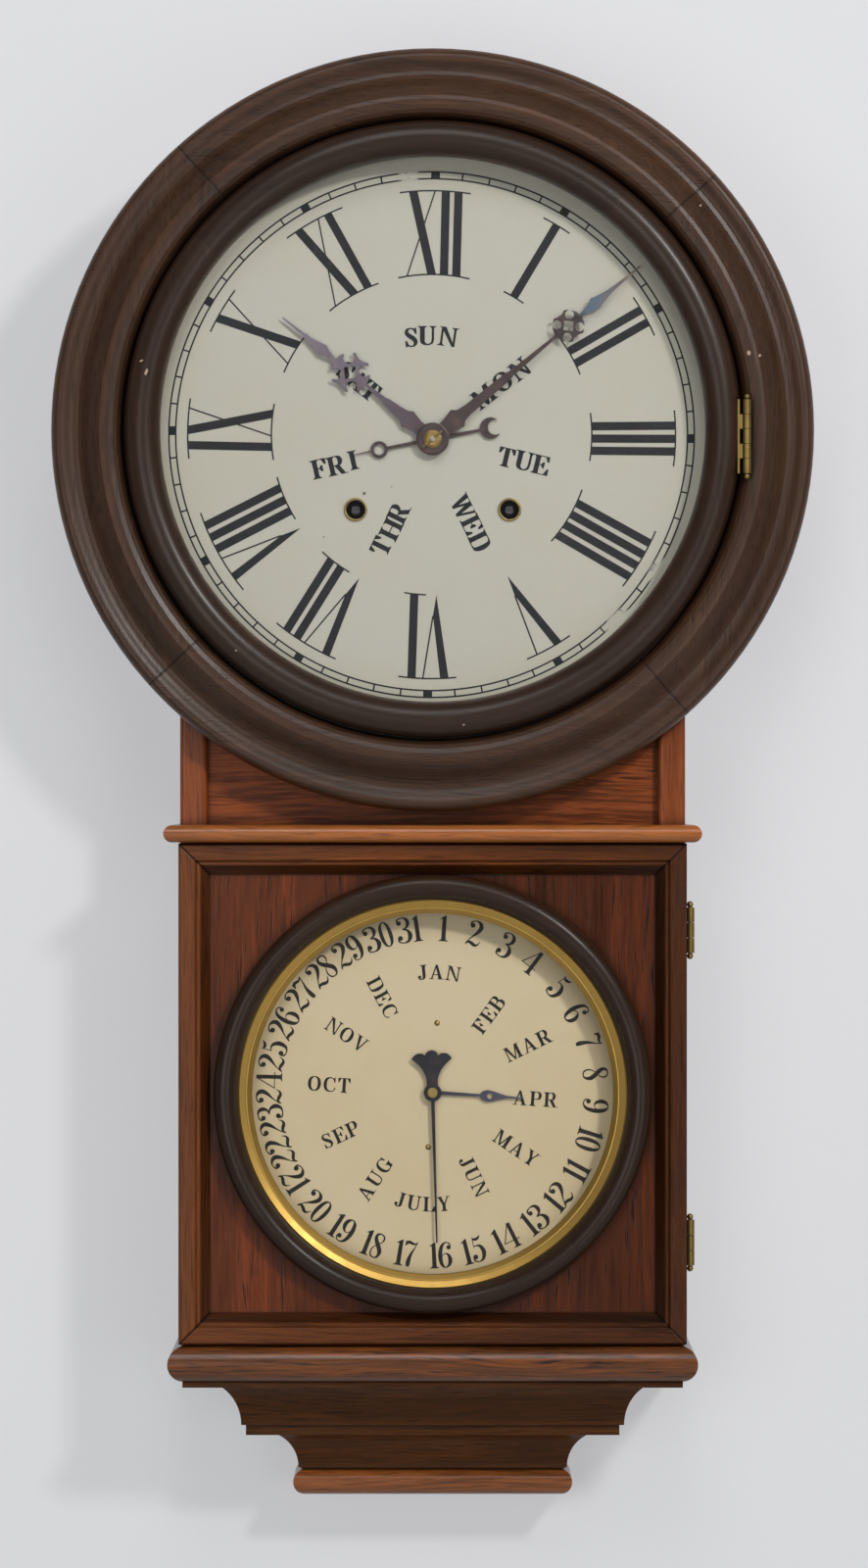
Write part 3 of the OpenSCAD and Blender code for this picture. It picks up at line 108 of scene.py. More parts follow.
class ClockTimePrint(PropertyGroup):
    """What is printed on the time dial."""
    off_x: offset("Offset across", -0.0006, "How far the print sits off the middle of the head, to the right")
    off_z: offset("Offset up", -0.0023, "How far the print sits off the middle of the head, upward")
    turn: FloatProperty(name="Turn", default=math.radians(0.87), subtype="ANGLE", unit="ROTATION",
                        description="How far the print is turned clockwise")
    track: length("Track radius", 0.1536, "Outer circle of the minute track")
    track_width: length("Track width", 0.0040, "From the outer to the inner circle of the minute track")
    line: length("Track line", 0.00095, "Thickness of the lines of the minute track")
    block: length("Five-minute block", 0.0052, "Width of the black block at every fifth minute")
    numeral_out: length("Numeral outer radius", 0.1426, "Where the hour numerals end toward the rim")
    numeral_in: length("Numeral inner radius", 0.0937, "Where the hour numerals end toward the middle")
    bar: length("Numeral bar", 0.0049, "Thick strokes of the hour numerals")
    hair: length("Numeral hairline", 0.00092, "Thin strokes and serifs of the hour numerals")
    letter: length("Letter height", 0.0112, "Height of the weekday letters")
    ink: colour("Ink", (17, 19, 25), "Black of the time dial's print")
    paint: colour("Dial paint", (192, 192, 181), "Aged off-white paint of the time dial")
    warm: colour("Warm paint", (188, 184, 163), "Tint of the time dial's paint in clouds and toward the rim")


class ClockCalendarPrint(PropertyGroup):
    """What is printed on the calendar dial."""
    off_z: offset("Offset up", 0.0004, "How far the print sits above the calendar arbor")
    figures: length("Date radius", 0.0960, "Radius of the middle of the date figures")
    figure: length("Date height", 0.0152, "Height of the date figures")
    letter: length("Month height", 0.0086, "Height of the month letters")
    ink: colour("Ink", (20, 16, 13), "Black of the calendar's print")
    paint: colour("Dial paint", (214, 200, 166), "Aged cream paint of the calendar dial")
    # Toward the rim this tint is partly a painted reflection of the brass sight ring
    warm: colour("Warm paint", (200, 179, 132), "Tint of the calendar dial's paint in clouds and toward the rim")


class ClockWood(PropertyGroup):
    """Colours of the woods."""
    ring: colour("Ebonised rings", (60, 38, 23), "Turned rings of the head, bezel and calendar opening")
    rubbed: colour("Rubbed edge", (104, 58, 30), "Wood that shows where the black finish is rubbed off")
    chipped: colour("Chip", (176, 150, 128), "Bare wood in the chips of the rings")
    case: colour("Case", (127, 64, 29), "Sides and frieze of the case")
    belt: colour("Belt", (156, 90, 40), "Moulding above the door")
    door: colour("Door frame", (101, 54, 23), "Rails and stiles of the door")
    panel: colour("Door panel", (90, 42, 18), "Figured board round the calendar dial")
    base: colour("Base", (90, 50, 22), "Rounded mouldings under the door")
    drop: colour("Drop", (76, 44, 19), "Hollow mouldings under the base")
    inner: colour("Inside", (158, 122, 84), "Plain boards inside and behind")


class ClockMetal(PropertyGroup):
    """Colours of the metals."""
    brass: colour("Brass", (196, 158, 84), "Movement plates, wheels, bob and sight ring")
    tarnish: colour("Tarnish", (122, 88, 42), "Aged brass in the low places")
    dull_brass: colour("Dull brass", (136, 115, 68), "Hinges, screws, date wheel and washer of the hands")
    hole_brass: colour("Winding holes", (136, 118, 76), "Brass edges of the winding holes")
    dull_tarnish: colour("Dull tarnish", (88, 74, 46), "Low places of the dull brass and the winding holes")
    steel: colour("Steel", (168, 166, 160), "Hanger plate, pillars, rod, lever and wires")
    # A darker steel than the rest, partly painted shade for the arbors deep in their holes
    arbor: colour("Winding arbors", (84, 84, 86), "Winding arbors behind their holes")
    spring: colour("Spring steel", (74, 84, 104), "Mainsprings and gong")
    dark_steel: colour("Brown steel", (62, 51, 52), "Hands where the blue has turned brown")
    blue_steel: colour("Blued steel", (112, 105, 116), "Hands where the blue has stayed")
    black_steel: colour("Black steel", (30, 32, 40), "Date hand")
    iron: colour("Iron", (74, 70, 66), "Calendar frame and gong block")


class ClockStage(PropertyGroup):
    """Camera, wall and lamps."""
    distance: length("Camera distance", 3.3, "From the front of the bezel to the camera")
    height: offset("Camera height", -0.3273, "Height of the camera against the hanger hole")
    across: offset("Camera across", 0.0008, "How far the camera stands to the right of the clock's middle")
    view: length("Height in view", 0.90976, "Height that the frame shows at the front of the bezel")
    wall: colour("Wall", (222, 222, 222), "Painted wall")
    wall_shown: colour("Wall as seen", (227, 228, 232), "Colour that the wall is evened out to where it is seen")
    even: FloatProperty(name="Evened wall", default=0.5, min=0.0, max=1.0, subtype="FACTOR",
                        description="How far the wall's shadows are lifted toward the colour as seen")
    key: power("Key lamp", 41.0, "Power of the small lamp at the upper right")
    top: power("Top lamp", 17.0, "Power of the softbox above and in front")
    fill: power("Fill lamps", 13.5, "Power of the softboxes at the lower left and right, before each one's share")
    world: FloatProperty(name="Room light", default=0.25, min=0.0,
                         description="Strength of the light from all round, halved in front of the clock")


SETTINGS = {"clock_time": ClockTimePrint, "clock_calendar": ClockCalendarPrint, "clock_wood": ClockWood,
            "clock_metal": ClockMetal, "clock_stage": ClockStage}


# Letters and figures are made of convex parts that may overlap, on a grid GRID units high
GRID = 100
THICK, THIN = 18.5, 6
SWEEP_STEPS, BALL_STEPS = 7, 16
LEAST_WIDTH = 1.2


def sweep(points):
    """Quads along a smooth line through (x, y, width) points; a line that ends where it starts is closed."""
    closed = points[0][:2] == points[-1][:2] and len(points) > 4
    line = []
    for i in range(len(points) - 1):
        b, c = points[i], points[i + 1]
        a = points[i - 1] if i else (points[-2] if closed else b)
        d = points[i + 2] if i + 2 < len(points) else (points[1] if closed else c)
        for k in range(SWEEP_STEPS):
            t = k / SWEEP_STEPS
            line.append([0.5 * (2 * q + (r - p) * t + (2 * p - 5 * q + 4 * r - s) * t * t
                                + (3 * q - p - 3 * r + s) * t ** 3) for p, q, r, s in zip(a, b, c, d)])
    line.append(list(points[-1]))
    edges = []
    for i, (x, y, w) in enumerate(line):
        before = line[i - 1] if i else (line[-2] if closed else line[0])
        after = line[i + 1] if i + 1 < len(line) else (line[1] if closed else line[-1])
        dx, dy = after[0] - before[0], after[1] - before[1]
        size = math.hypot(dx, dy) or 1
        w = max(w, LEAST_WIDTH) / 2
        edges.append(((x - dy / size * w, y + dx / size * w), (x + dy / size * w, y - dx / size * w)))
    return [[a[0], a[1], b[1], b[0]] for a, b in zip(edges, edges[1:])]


def ball(x, y, r):
    turns = [math.tau * k / BALL_STEPS for k in range(BALL_STEPS)]
    return [[(x + r * math.cos(turn), y + r * math.sin(turn)) for turn in turns]]


def slope(x0, y0, x1, y1, w):
    """A straight stroke with level ends; w is measured level."""
    return [[(x0 - w / 2, y0), (x0 + w / 2, y0), (x1 + w / 2, y1), (x1 - w / 2, y1)]]


def beam(x0, x1, y, t=THIN):
    return [[(x0, y - t / 2), (x1, y - t / 2), (x1, y + t / 2), (x0, y + t / 2)]]


def serif(x0, x1, y, s0, s1, bracket=9, t=4.5, up=1):
    """A thin slab at the foot (up = 1) or head (up = -1) of the stem s0 to s1, with hollow brackets."""
    parts = [[(x0, y), (x1, y), (x1, y + up * t), (x0, y + up * t)]]
    for side, tip in ((s0, x0), (s1, x1)):
        reach = (tip - side) * 0.75
        last = (side, y + up * (t + bracket))
        for k in (1, 2, 3):
            u = k / 3
            here = (side + reach * u, y + up * (t + bracket * (1 - u) ** 2))
            parts.append([last, here, (here[0], y + up * t * 0.5), (last[0], y + up * t * 0.5)])
            last = here
    return parts


def stem(x, w=THICK, y0=0, y1=GRID, foot=12, head=12, right=1.0):
    """An upright stroke with serifs that reach past it by foot and head, on the right by that share of them."""
    parts = slope(x, y0, x, y1, w)
    for reach, y, up in ((foot, y0, 1), (head, y1, -1)):
        if reach:
            parts += serif(x - w / 2 - reach, x + w / 2 + reach * right, y, x - w / 2, x + w / 2, up=up)
    return parts


def tick(x, y, long, wide):
    """The hooked end of an arm: upright outside, hollow inside."""
    return [[(x, y), (x, y + long), (x + wide * 0.12, y + long), (x + wide * 0.35, y + long * 0.45), (x + wide, y)]]


def wing(x0, x1, y):
    """A bare serif on a slanting stroke."""
    return beam(x0, x1, y + (2.2 if y < GRID / 2 else -2.2), 4.5)


def bowl(x0, xr, low, high, w=THICK):
    """The round of B, D, P and R, from the stem at x0 out to xr."""
    middle, shoulder = (low + high) / 2, THIN / 2 + (high - low) * 0.27 * 0.35
    turn = x0 + (xr - x0) * 0.5
    return sweep([(x0, high - THIN / 2, THIN), (turn, high - THIN / 2, THIN),
                  (xr - w * 0.85, high - shoulder, w * 0.68), (xr - w / 2, middle, w),
                  (xr - w * 0.85, low + shoulder, w * 0.68), (turn, low + THIN / 2, THIN), (x0, low + THIN / 2, THIN)])


# Each as (width, parts)
LETTERS = {
    "A": (98, slope(47, 100, 15, 0, THIN * 1.1) + [[(40, 100), (52, 100), (86, 0), (86 - THICK * 1.12, 0)]]
          + beam(24, 70, 31) + wing(0, 31, 0) + wing(55, 99, 0)),
    "B": (84, stem(21, right=0.4) + bowl(21, 77, 50, 100) + bowl(21, 84, 0, 55)),
    "C": (84, sweep([(77, 70, 3), (70, 86, 5), (50, 97.2, 6.5), (22, 85, 14), (12.5, 50, 19), (22, 15, 14),
          (50, 3, 6.5), (72, 11, 5), (82, 30, 3)]) + [[(80, 98.5), (80, 64), (76.5, 64), (70, 86), (77, 98.5)]]),
    "D": (92, stem(21, right=0.4) + bowl(21, 91, 0, 100, 19.5)),
    "E": (82, stem(21, right=0.3) + beam(20, 77, 97.5, 5) + beam(20, 56, 51, 5) + beam(20, 82, 2.5, 5)
          + tick(78, 100, -30, -17) + tick(83, 0, 34, -20) + [[(57, 35), (57, 67), (54, 67), (44, 51), (54, 35)]]),
    "F": (76, stem(21) + beam(20, 75, 97.5, 5) + beam(20, 55, 50, 5) + tick(76, 100, -32, -18) + [[(56, 34), (56, 66),
          (53, 66), (43, 50), (53, 34)]]),
    "G": (93, sweep([(77, 70, 3), (70, 86, 5), (50, 97.2, 6.5), (22, 85, 14), (12.5, 50, 19), (22, 15, 14),
          (48, 3, 6.5), (66, 7, 6), (72, 18, 5)]) + [[(80, 98.5), (80, 64), (76.5, 64), (70, 86), (77, 98.5)]]
          + stem(75, y0=2, y1=43, foot=0, head=10)),
    "H": (100, stem(20) + stem(80) + beam(20, 80, 51)),
    "I": (42, stem(21)),
    "J": (66, stem(43, y0=24, foot=0) + sweep([(43, 26, THICK), (41, 12, 15), (29, 3, 7.5), (15, 5, 8), (7, 16, 5)])
          + ball(12, 19, 10)),
    "L": (80, stem(21) + beam(20, 78, 2.5, 5) + tick(80, 0, 38, -22)),
    "M": (114, stem(15, 5, foot=13, head=0) + stem(94, head=0) + wing(2, 24, 100) + wing(88, 114, 100) + [[(12, 100),
          (31, 100), (62, 0), (54, 0)]] + slope(90, 100, 57, 0, 6.5)),
    "N": (96, stem(16, 5, foot=13, head=0) + stem(82, 5, foot=0, head=13) + wing(2, 25, 100) + [[(10, 100), (30, 100),
          (84.5, 0), (76, 0)]]),
    "O": (90, sweep([(45, 97.2, THIN), (20, 84, 14), (11.5, 50, 19.5), (20, 16, 14), (45, 2.8, THIN), (70, 16, 14),
          (78.5, 50, 19.5), (70, 84, 14), (45, 97.2, THIN)])),
    "P": (80, stem(21) + bowl(21, 80, 44, 100)),
    "R": (96, stem(21) + bowl(21, 80, 47, 100) + slope(50, 50, 77, 0, THICK * 1.05) + wing(66, 98, 0)),
    "S": (68, sweep([(60, 70, 2.5), (55, 86, 4.5), (36, 97.2, 6), (18, 91, 10), (13, 76, 14), (24, 60, 18.5),
          (45, 43, 19.5), (55, 25, 15), (48, 8, 9), (30, 2.8, 6), (13, 13, 4.5), (7, 31, 2.5)]) + [[(62, 98.5),
          (62, 66), (59, 66), (54, 84), (59, 98.5)], [(5, 1.5), (5, 34), (8, 34), (14, 15), (8, 1.5)]]),
    "T": (84, stem(42, head=0) + beam(3, 81, 97.5, 5) + tick(2, 100, -32, 20) + tick(82, 100, -32, -20)),
    "U": (94, stem(22, y0=30, foot=0) + stem(77, 5.5, y0=30, foot=0, head=13) + sweep([(22, 32, THICK), (25, 14, 15),
          (46, 3, 7), (70, 11, 6), (77, 32, 5.5)])),
    "V": (94, [[(10, 100), (30, 100), (55, 0), (46, 0)]] + slope(78, 100, 50, 0, THIN * 1.1) + wing(0, 40, 100)
          + wing(64, 93, 100)),
    "W": (130, [[(8, 100), (28, 100), (48, 0), (40, 0)]] + slope(62, 100, 44, 0, THIN) + [[(52, 100), (72, 100),
          (93, 0), (85, 0)]] + slope(113, 100, 89, 0, THIN) + wing(0, 37, 100) + wing(44, 80, 100)
          + wing(100, 127, 100)),
    "Y": (92, [[(8, 100), (28, 100), (55, 44), (37, 44)]] + slope(76, 100, 49, 42, THIN * 1.1)
          + stem(46, y1=48, head=0) + wing(0, 38, 100) + wing(62, 91, 100)),
}
FIGURES = {
    "1": (33, [[(10, 2), (27, 2), (26, 100), (22, 100), (11, 93)], [(0, 84.5), (12, 86), (12, 94)]]
          + serif(0, 36, 0, 10, 27, 5, 3.5)),
    "2": (57, ball(13.5, 78.5, 9.5) + sweep([(6, 78, 5), (7, 90, 6), (24, 98, 4.5), (41, 91, 13), (47, 76, 16.5),
          (38, 56, 13), (19, 33, 5), (4, 10, 3), (2, 2, 2.5)]) + sweep([(2, 2, 3), (10, 13, 9), (22, 12, 12.5),
          (37, 5.5, 12), (49, 10, 6), (56, 24, 2)])),
    "3": (60, ball(13, 79, 9) + ball(12, 21, 9.5) + sweep([(6, 78, 5), (8, 92, 6), (26, 98, 4.5), (42, 92, 11),
          (47.5, 77, 15), (41, 61, 9), (24, 54, 3.5)]) + sweep([(24, 54, 3.5), (43, 48, 9), (51.5, 28, 17),
          (43, 8, 11), (25, 2, 4.5), (7, 8, 6), (5, 22, 5)])),
    "4": (63, slope(45, 2, 45, 100, 15) + serif(28, 61, 0, 37.5, 52.5, 5, 3.5) + slope(42, 99, 2, 30, 4.5)
          + beam(0, 64, 29.5, 3.5)),
    "5": (55, [[(14, 100), (17, 98), (14.5, 60), (11.5, 60)]] + sweep([(15, 93, 6), (25, 88.5, 11), (36, 92, 10),
          (44, 99, 3), (46, 101, 2)]) + sweep([(13, 60, 3), (24, 64.5, 5), (39, 58, 12), (47, 36, 16.5), (40, 11, 12),
          (24, 2, 4.5), (6, 8, 6), (4.5, 22, 5)]) + ball(11.5, 22, 9.5)),
    "6": (53, ball(41, 79, 8.5) + sweep([(47, 80, 4), (44, 93, 5), (31, 98, 4.5), (16, 87, 11), (8.5, 62, 15.5),
          (8, 36, 16), (14, 12, 12), (27, 2, 4.5), (41, 12, 12), (45.5, 30, 15.5), (40, 48, 11), (28, 55.5, 4),
          (17, 49, 3), (12, 36, 2)])),
    "7": (50, sweep([(2, 78, 2.5), (6, 90, 11), (15, 94.5, 12), (28, 90, 10), (38, 90, 6), (47, 98, 2.5)])
          + slope(2.5, 100, 2, 80, 2.5) + sweep([(47, 98, 3), (37, 72, 5), (26, 46, 11), (21, 22, 16.5),
          (20.5, 8, 15.5), (20.5, 0, 10)])),
    "8": (47, sweep([(23.5, 98, 4.5), (11, 92, 9), (8.5, 79, 13), (16, 64, 16), (28, 49, 17), (37.5, 34, 16.5),
          (39, 21, 13), (34, 7, 7.5), (23.5, 2, 4.5)]) + sweep([(23.5, 98, 4.5), (36, 92, 6), (40, 80, 6.5),
          (35, 67, 4), (23, 55, 3), (11, 42, 4), (5.5, 25, 5.5), (10, 8, 6), (23.5, 2, 4.5)])),
    "9": (55, ball(13, 21, 9) + sweep([(5.5, 20, 4), (8, 7, 5), (23, 2, 4.5), (39, 13, 11), (46.5, 38, 15.5),
          (47, 64, 16), (41, 88, 12), (28, 98, 4.5), (14, 88, 12), (9.5, 70, 15.5), (15, 52, 11), (27, 44.5, 4),
          (38, 51, 3), (43, 64, 2)])),
    "0": (51, sweep([(25.5, 98, 4.5), (12, 84, 11), (8, 50, 15), (12, 16, 11), (25.5, 2, 4.5), (39, 16, 11),
          (43, 50, 15), (39, 84, 11), (25.5, 98, 4.5)])),
}

# How far the print stands proud of the dial and reaches into it
PROUD, SUNK = 0.09 * MM, 0.03 * MM
# Parts of a sign with less area than this, in square metres, are left out
LEAST_AREA = 1e-13


def placed(parts, middle, turn, height, at):
    """Glyph parts at their height, with the glyph's point middle put at `at` and turned anticlockwise by turn."""
    c, s = math.cos(turn) * height / GRID, math.sin(turn) * height / GRID
    return [[(at[0] + (x - middle[0]) * c - (y - middle[1]) * s, at[1] + (x - middle[0]) * s + (y - middle[1]) * c)
             for x, y in part] for part in parts]


def joined(parts):
    """One flat outline from overlapping parts, as (points, triangles)."""
    points, faces = [], []
    for part in parts:
        area = sum(a[0] * b[1] - b[0] * a[1] for a, b in zip(part, part[1:] + part[:1]))
        if abs(area) < LEAST_AREA:
            continue
        faces.append(list(range(len(points), len(points) + len(part))))
        points += [Vector((x / MM, y / MM)) for x, y in (part if area > 0 else part[::-1])]
    spots, _, triangles, _, _, sources = delaunay_2d_cdt(points, [], faces, 0, 1e-5, True)
    return [(p.x * MM, p.y * MM) for p in spots], [t for t, source in zip(triangles, sources) if source]


def print_on(name, signs, face, body, material):
    """A thin layer of paint on the dial at y = face, from signs that don't touch each other."""
    verts, faces = [], []
    for parts in signs:
        spots, triangles = joined(parts)
        top, under = len(verts), len(verts) + len(spots)
        verts += [(x, face - PROUD, z) for x, z in spots] + [(x, face + SUNK, z) for x, z in spots]
        rim = set()
        for t in triangles:
            a, b, c = (spots[i] for i in t)
            if (b[0] - a[0]) * (c[1] - a[1]) - (b[1] - a[1]) * (c[0] - a[0]) < 0:
                t = t[::-1]
            faces += [tuple(top + i for i in t), tuple(under + i for i in reversed(t))]
            rim |= {(t[0], t[1]), (t[1], t[2]), (t[2], t[0])}
        faces += [(top + a, under + a, under + b, top + b) for a, b in sorted(rim) if (b, a) not in rim]
    mesh = bpy.data.meshes.new(name)
    mesh.from_pydata(verts, [], faces)
    mesh.validate()
    piece = bpy.data.objects.new(name, mesh)
    bpy.context.scene.collection.objects.link(piece)
    mesh.materials.append(material)
    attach(piece, body)


def spot(centre, r, angle):
    """The point at radius r, by an angle clockwise from the top."""
    return centre[0] + r * math.sin(angle), centre[1] + r * math.cos(angle)


class Polar:
    """Places on a dial, from the tangential offset u (clockwise) and the radius r of a numeral's own frame."""
    ARC_STEPS = 9

    def __init__(self, centre, angle):
        self.centre, self.out = centre, (math.sin(angle), math.cos(angle))
        self.round = (math.cos(angle), -math.sin(angle))

    def at(self, u, r):
        v = math.sqrt(r * r - u * u)
        return tuple(c + u * a + v * b for c, a, b in zip(self.centre, self.round, self.out))

    def stroke(self, u0, r0, u1, r1, w):
        return [[self.at(u0 - w / 2, r0), self.at(u1 - w / 2, r1), self.at(u1 + w / 2, r1), self.at(u0 + w / 2, r0)]]

    def arc(self, u0, u1, r, t):
        us = [u0 + (u1 - u0) * k / self.ARC_STEPS for k in range(self.ARC_STEPS + 1)]
        return [[self.at(a, r - t / 2), self.at(b, r - t / 2), self.at(b, r + t / 2), self.at(a, r + t / 2)]
                for a, b in zip(us, us[1:])]


# Strokes of each hour in mm across the numeral: ("I", outer, inner), ("V", bar, hairline, tip) or
# ("X", bar out, bar in, hairline out, hairline in); then the ends of the outer and inner serif
HOURS = {
    1: ([("I", 0, 0)], (-8.9, 8.9), (-6.8, 6.8)),
    2: ([("I", -4.1, -3.4), ("I", 4.1, 4.6)], (-12.8, 12.8), (-11.5, 11.5)),
    3: ([("I", -7.4, -6.3), ("I", 0.3, 0.9), ("I", 7.7, 8.0)], (-16.4, 16.4), (-14.1, 14.1)),
    4: ([("I", -10.9, -9.2), ("I", -3.2, -1.9), ("I", 4.2, 5.2), ("I", 11.9, 12.5)], (-18.8, 18.8), (-17.6, 17.6)),
    5: ([("V", -5.1, 8.7, 1.5)], (-13.5, 15.2), None),
    6: ([("V", -9.6, 3.0, -4.2), ("I", 9.6, 8.7)], (-16.6, 17.4), (1.8, 14.6)),
    7: ([("V", -12.8, 1.4, -6.7), ("I", 6.7, 5.8), ("I", 14.0, 12.9)], (-19.1, 21.4), (0, 19.7)),
    8: ([("V", -16.3, -3.5, -10.4), ("I", 2.8, 1.3), ("I", 10.3, 8.5), ("I", 17.8, 15.8)], (-25.7, 25.7), (-4.4, 22.3)),
    9: ([("I", -8.3, -8.6), ("X", 0.5, 10.8, 13.5, -2.2)], (-16.3, 19.0), (-16.2, 16.6)),
    10: ([("X", -5.7, 5.0, 7.2, -7.5)], (-14.8, 13.5), (-13.2, 13.2)),
    11: ([("X", -9.9, 0.6, 3.5, -12.6), ("I", 9.6, 9.5)], (-18.1, 19.1), (-17.0, 16.0)),
    12: ([("X", -12.9, -1.4, 0, -15.8), ("I", 6.2, 5.8), ("I", 13.6, 13.0)], (-20.8, 20.8), (-20.9, 20.9)),
}
V_JOIN = 0.25  # how far up from its tip the two strokes of a V run together
X_BAR = 1.04  # the thick stroke of an X against the bar, because it is measured level
TRACK_STEPS = 360

# Letters of the weekdays: (mm right of the hand arbor, mm above it, degrees anticlockwise)
WEEKDAYS = {
    "SUN": ((-12.6, 59.7, 6), (-3.2, 60.8, 0), (9.0, 60.1, -8)),
    "MON": ((29.7, 25.2, 38), (40.8, 33.9, 38), (50.8, 41.0, 38)),
    "TUE": ((43.0, -10.4, -13.5), (53.5, -12.4, -13.5), (63.2, -14.8, -13.5)),
    "WED": ((17.6, -39.6, -64), (22.9, -49.5, -64), (27.5, -59.4, -64)),
    "THR": ((-30.2, -62.4, 64), (-24.3, -52.5, 64), (-19.9, -42.8, 64)),
    "FRI": ((-66.5, -17.1, 13), (-56.2, -15.1, 13), (-46.6, -12.1, 13)),
    "SAT": ((-50.6, 39.9, -38.6), (-43.4, 34.2, -38.6), (-36.3, 28.5, -38.6)),
}
# Clockwise degrees of the dates 1 to 31, spaced as on the old dial
DATES = (3.8, 15.0, 26.75, 37.2, 50.3, 61.2, 72.3, 83.7, 94.9, 107.1, 118.9, 129.9, 141.3, 153.5, 165.5, 177.2, 189.4,
         201.3, 213.3, 225.6, 237.6, 248.3, 260.0, 271.3, 282.9, 294.7, 306.4, 317.3, 328.9, 340.6, 351.5)
TOP_INWARD = range(11, 22)
# Months: (clockwise degrees, mm from the arbor, how it reads)
MONTHS = {
    "JAN": (3.0, 70.2, "arch"), "FEB": (36.0, 55.8, "outward"), "MAR": (64.0, 62.1, "outward"),
    "APR": (94.0, 60.4, "outward"), "MAY": (124.0, 59.2, "outward"), "JUN": (154.0, 55.2, "outward"),
    "JULY": (185.0, 66.1, "arch"), "AUG": (213.5, 61.5, "inward"), "SEP": (245.0, 59.8, "inward"),
    "OCT": (274.0, 60.9, "inward"), "NOV": (303.5, 60.4, "inward"), "DEC": (332.0, 62.7, "inward"),
}
# Spaces between signs, and how much wider each side of a letter's strokes is printed
DATE_GAP, MONTH_GAP = 2, 16
WEEKDAY_FAT, MONTH_FAT = 3.6, 1.6


def hour_signs(p):
    centre = (HEAD[0] + p.off_x, HEAD[1] + p.off_z)
    out, low = p.numeral_out, p.numeral_in
    signs = []
    for hour, (strokes, outer, inner) in HOURS.items():
        polar = Polar(centre, math.radians(30 * hour) + p.turn)
        parts = polar.arc(outer[0] * MM, outer[1] * MM, out, p.hair)
        if inner:
            parts += polar.arc(inner[0] * MM, inner[1] * MM, low, p.hair)
        for kind, *u in strokes:
            u = [v * MM for v in u]
            if kind == "I":
                parts += polar.stroke(u[0], out, u[1], low, p.bar)
            elif kind == "X":
                parts += polar.stroke(u[0], out, u[1], low, p.bar * X_BAR) + polar.stroke(u[2], out, u[3], low, p.hair)
            else:
                join = (u[2] + (u[1] - u[2]) * V_JOIN, low + (out - low) * V_JOIN)
                parts += [[polar.at(u[0] - p.bar / 2, out), polar.at(u[2], low), polar.at(*join),
                           polar.at(u[0] + p.bar / 2, out)]]
                parts += polar.stroke(u[1], out, *join, p.hair)
        signs.append(parts)
    return signs


def track_signs(p):
    centre = (HEAD[0] + p.off_x, HEAD[1] + p.off_z)
    inner = p.track - p.track_width
    parts = []
    for r in (p.track, inner):
        ring = [[spot(centre, q, math.tau * k / TRACK_STEPS) for k in range(TRACK_STEPS + 1)]
                for q in (r - p.line / 2, r + p.line / 2)]
        parts += [[ring[0][k], ring[0][k + 1], ring[1][k + 1], ring[1][k]] for k in range(TRACK_STEPS)]
    for minute in range(60):
        polar = Polar(centre, math.radians(6 * minute) + p.turn)
        parts += polar.stroke(0, inner, 0, p.track, p.line if minute % 5 else p.block)
    return [parts]


def fat(parts, more):
    """Glyph parts with every stroke wider by more on each side."""
    wide = []
    for part in parts:
        spots = sorted({(round(x + dx, 4), round(y, 4)) for dx in (-more, more) for x, y in part})
        hull = []
        for row in (spots, spots[::-1]):
            side = []
            for here in row:
                while len(side) > 1 and ((side[-1][0] - side[-2][0]) * (here[1] - side[-2][1])
                                         <= (side[-1][1] - side[-2][1]) * (here[0] - side[-2][0])):
                    side.pop()
                side.append(here)
            hull += side[:-1]
        wide.append(hull)
    return wide


def weekday_signs(p):
    signs = []
    for word, places in WEEKDAYS.items():
        for letter, (x, z, turn) in zip(word, places):
            width, parts = LETTERS[letter]
            signs.append(placed(fat(parts, WEEKDAY_FAT), (width / 2, GRID / 2), math.radians(turn), p.letter,
                                (HAND_ARBOR[0] + x * MM, HAND_ARBOR[1] + z * MM)))
    return signs


def row_of(table, text, gap):
    """The glyphs of a word side by side, as (parts, width, its middle from the word's middle)."""
    row, x = [], 0
    for sign in text:
        width, parts = table[sign]
        row.append((parts, width, x + width / 2))
        x += width + gap
    return [(parts, width, middle - (x - gap) / 2) for parts, width, middle in row]


def date_signs(p):
    centre = (CALENDAR_ARBOR[0], CALENDAR_ARBOR[1] + p.off_z)
    signs = []
    for day, clockwise in enumerate(DATES, 1):
        angle = math.radians(clockwise)
        turn = -angle + (math.pi if day in TOP_INWARD else 0)
        figures = []
        for parts, width, x in row_of(FIGURES, str(day), DATE_GAP):
            figures += placed(parts, (width / 2 - x, GRID / 2), turn, p.figure, spot(centre, p.figures, angle))
        signs.append(figures)
    return signs


def month_signs(p):
    centre = (CALENDAR_ARBOR[0], CALENDAR_ARBOR[1] + p.off_z)
    signs = []
    for word, (clockwise, mid, way) in MONTHS.items():
        angle = math.radians(clockwise)
        for parts, width, x in row_of(LETTERS, word, MONTH_GAP):
            x *= p.letter / GRID
            if way == "arch":
                low = clockwise > 90
                turned = angle + (-x if low else x) / (mid * MM)
                at = spot(centre, mid * MM, turned)
                turn = -turned + (math.pi if low else 0)
            else:
                sense = 1 if way == "outward" else -1
                at = spot(centre, mid * MM + sense * x, angle)
                turn = math.pi / 2 - angle + (0 if sense > 0 else math.pi)
            signs.append(placed(fat(parts, MONTH_FAT), (width / 2, GRID / 2), turn, p.letter, at))
    return signs


# Where the ink is worn: (x, z, radius, how much)
TIME_WORN = ((-0.014, 0.029, 0.009, 0.9), (0.136, -0.205, 0.014, 1.3), (0.112, -0.236, 0.016, 1.3))
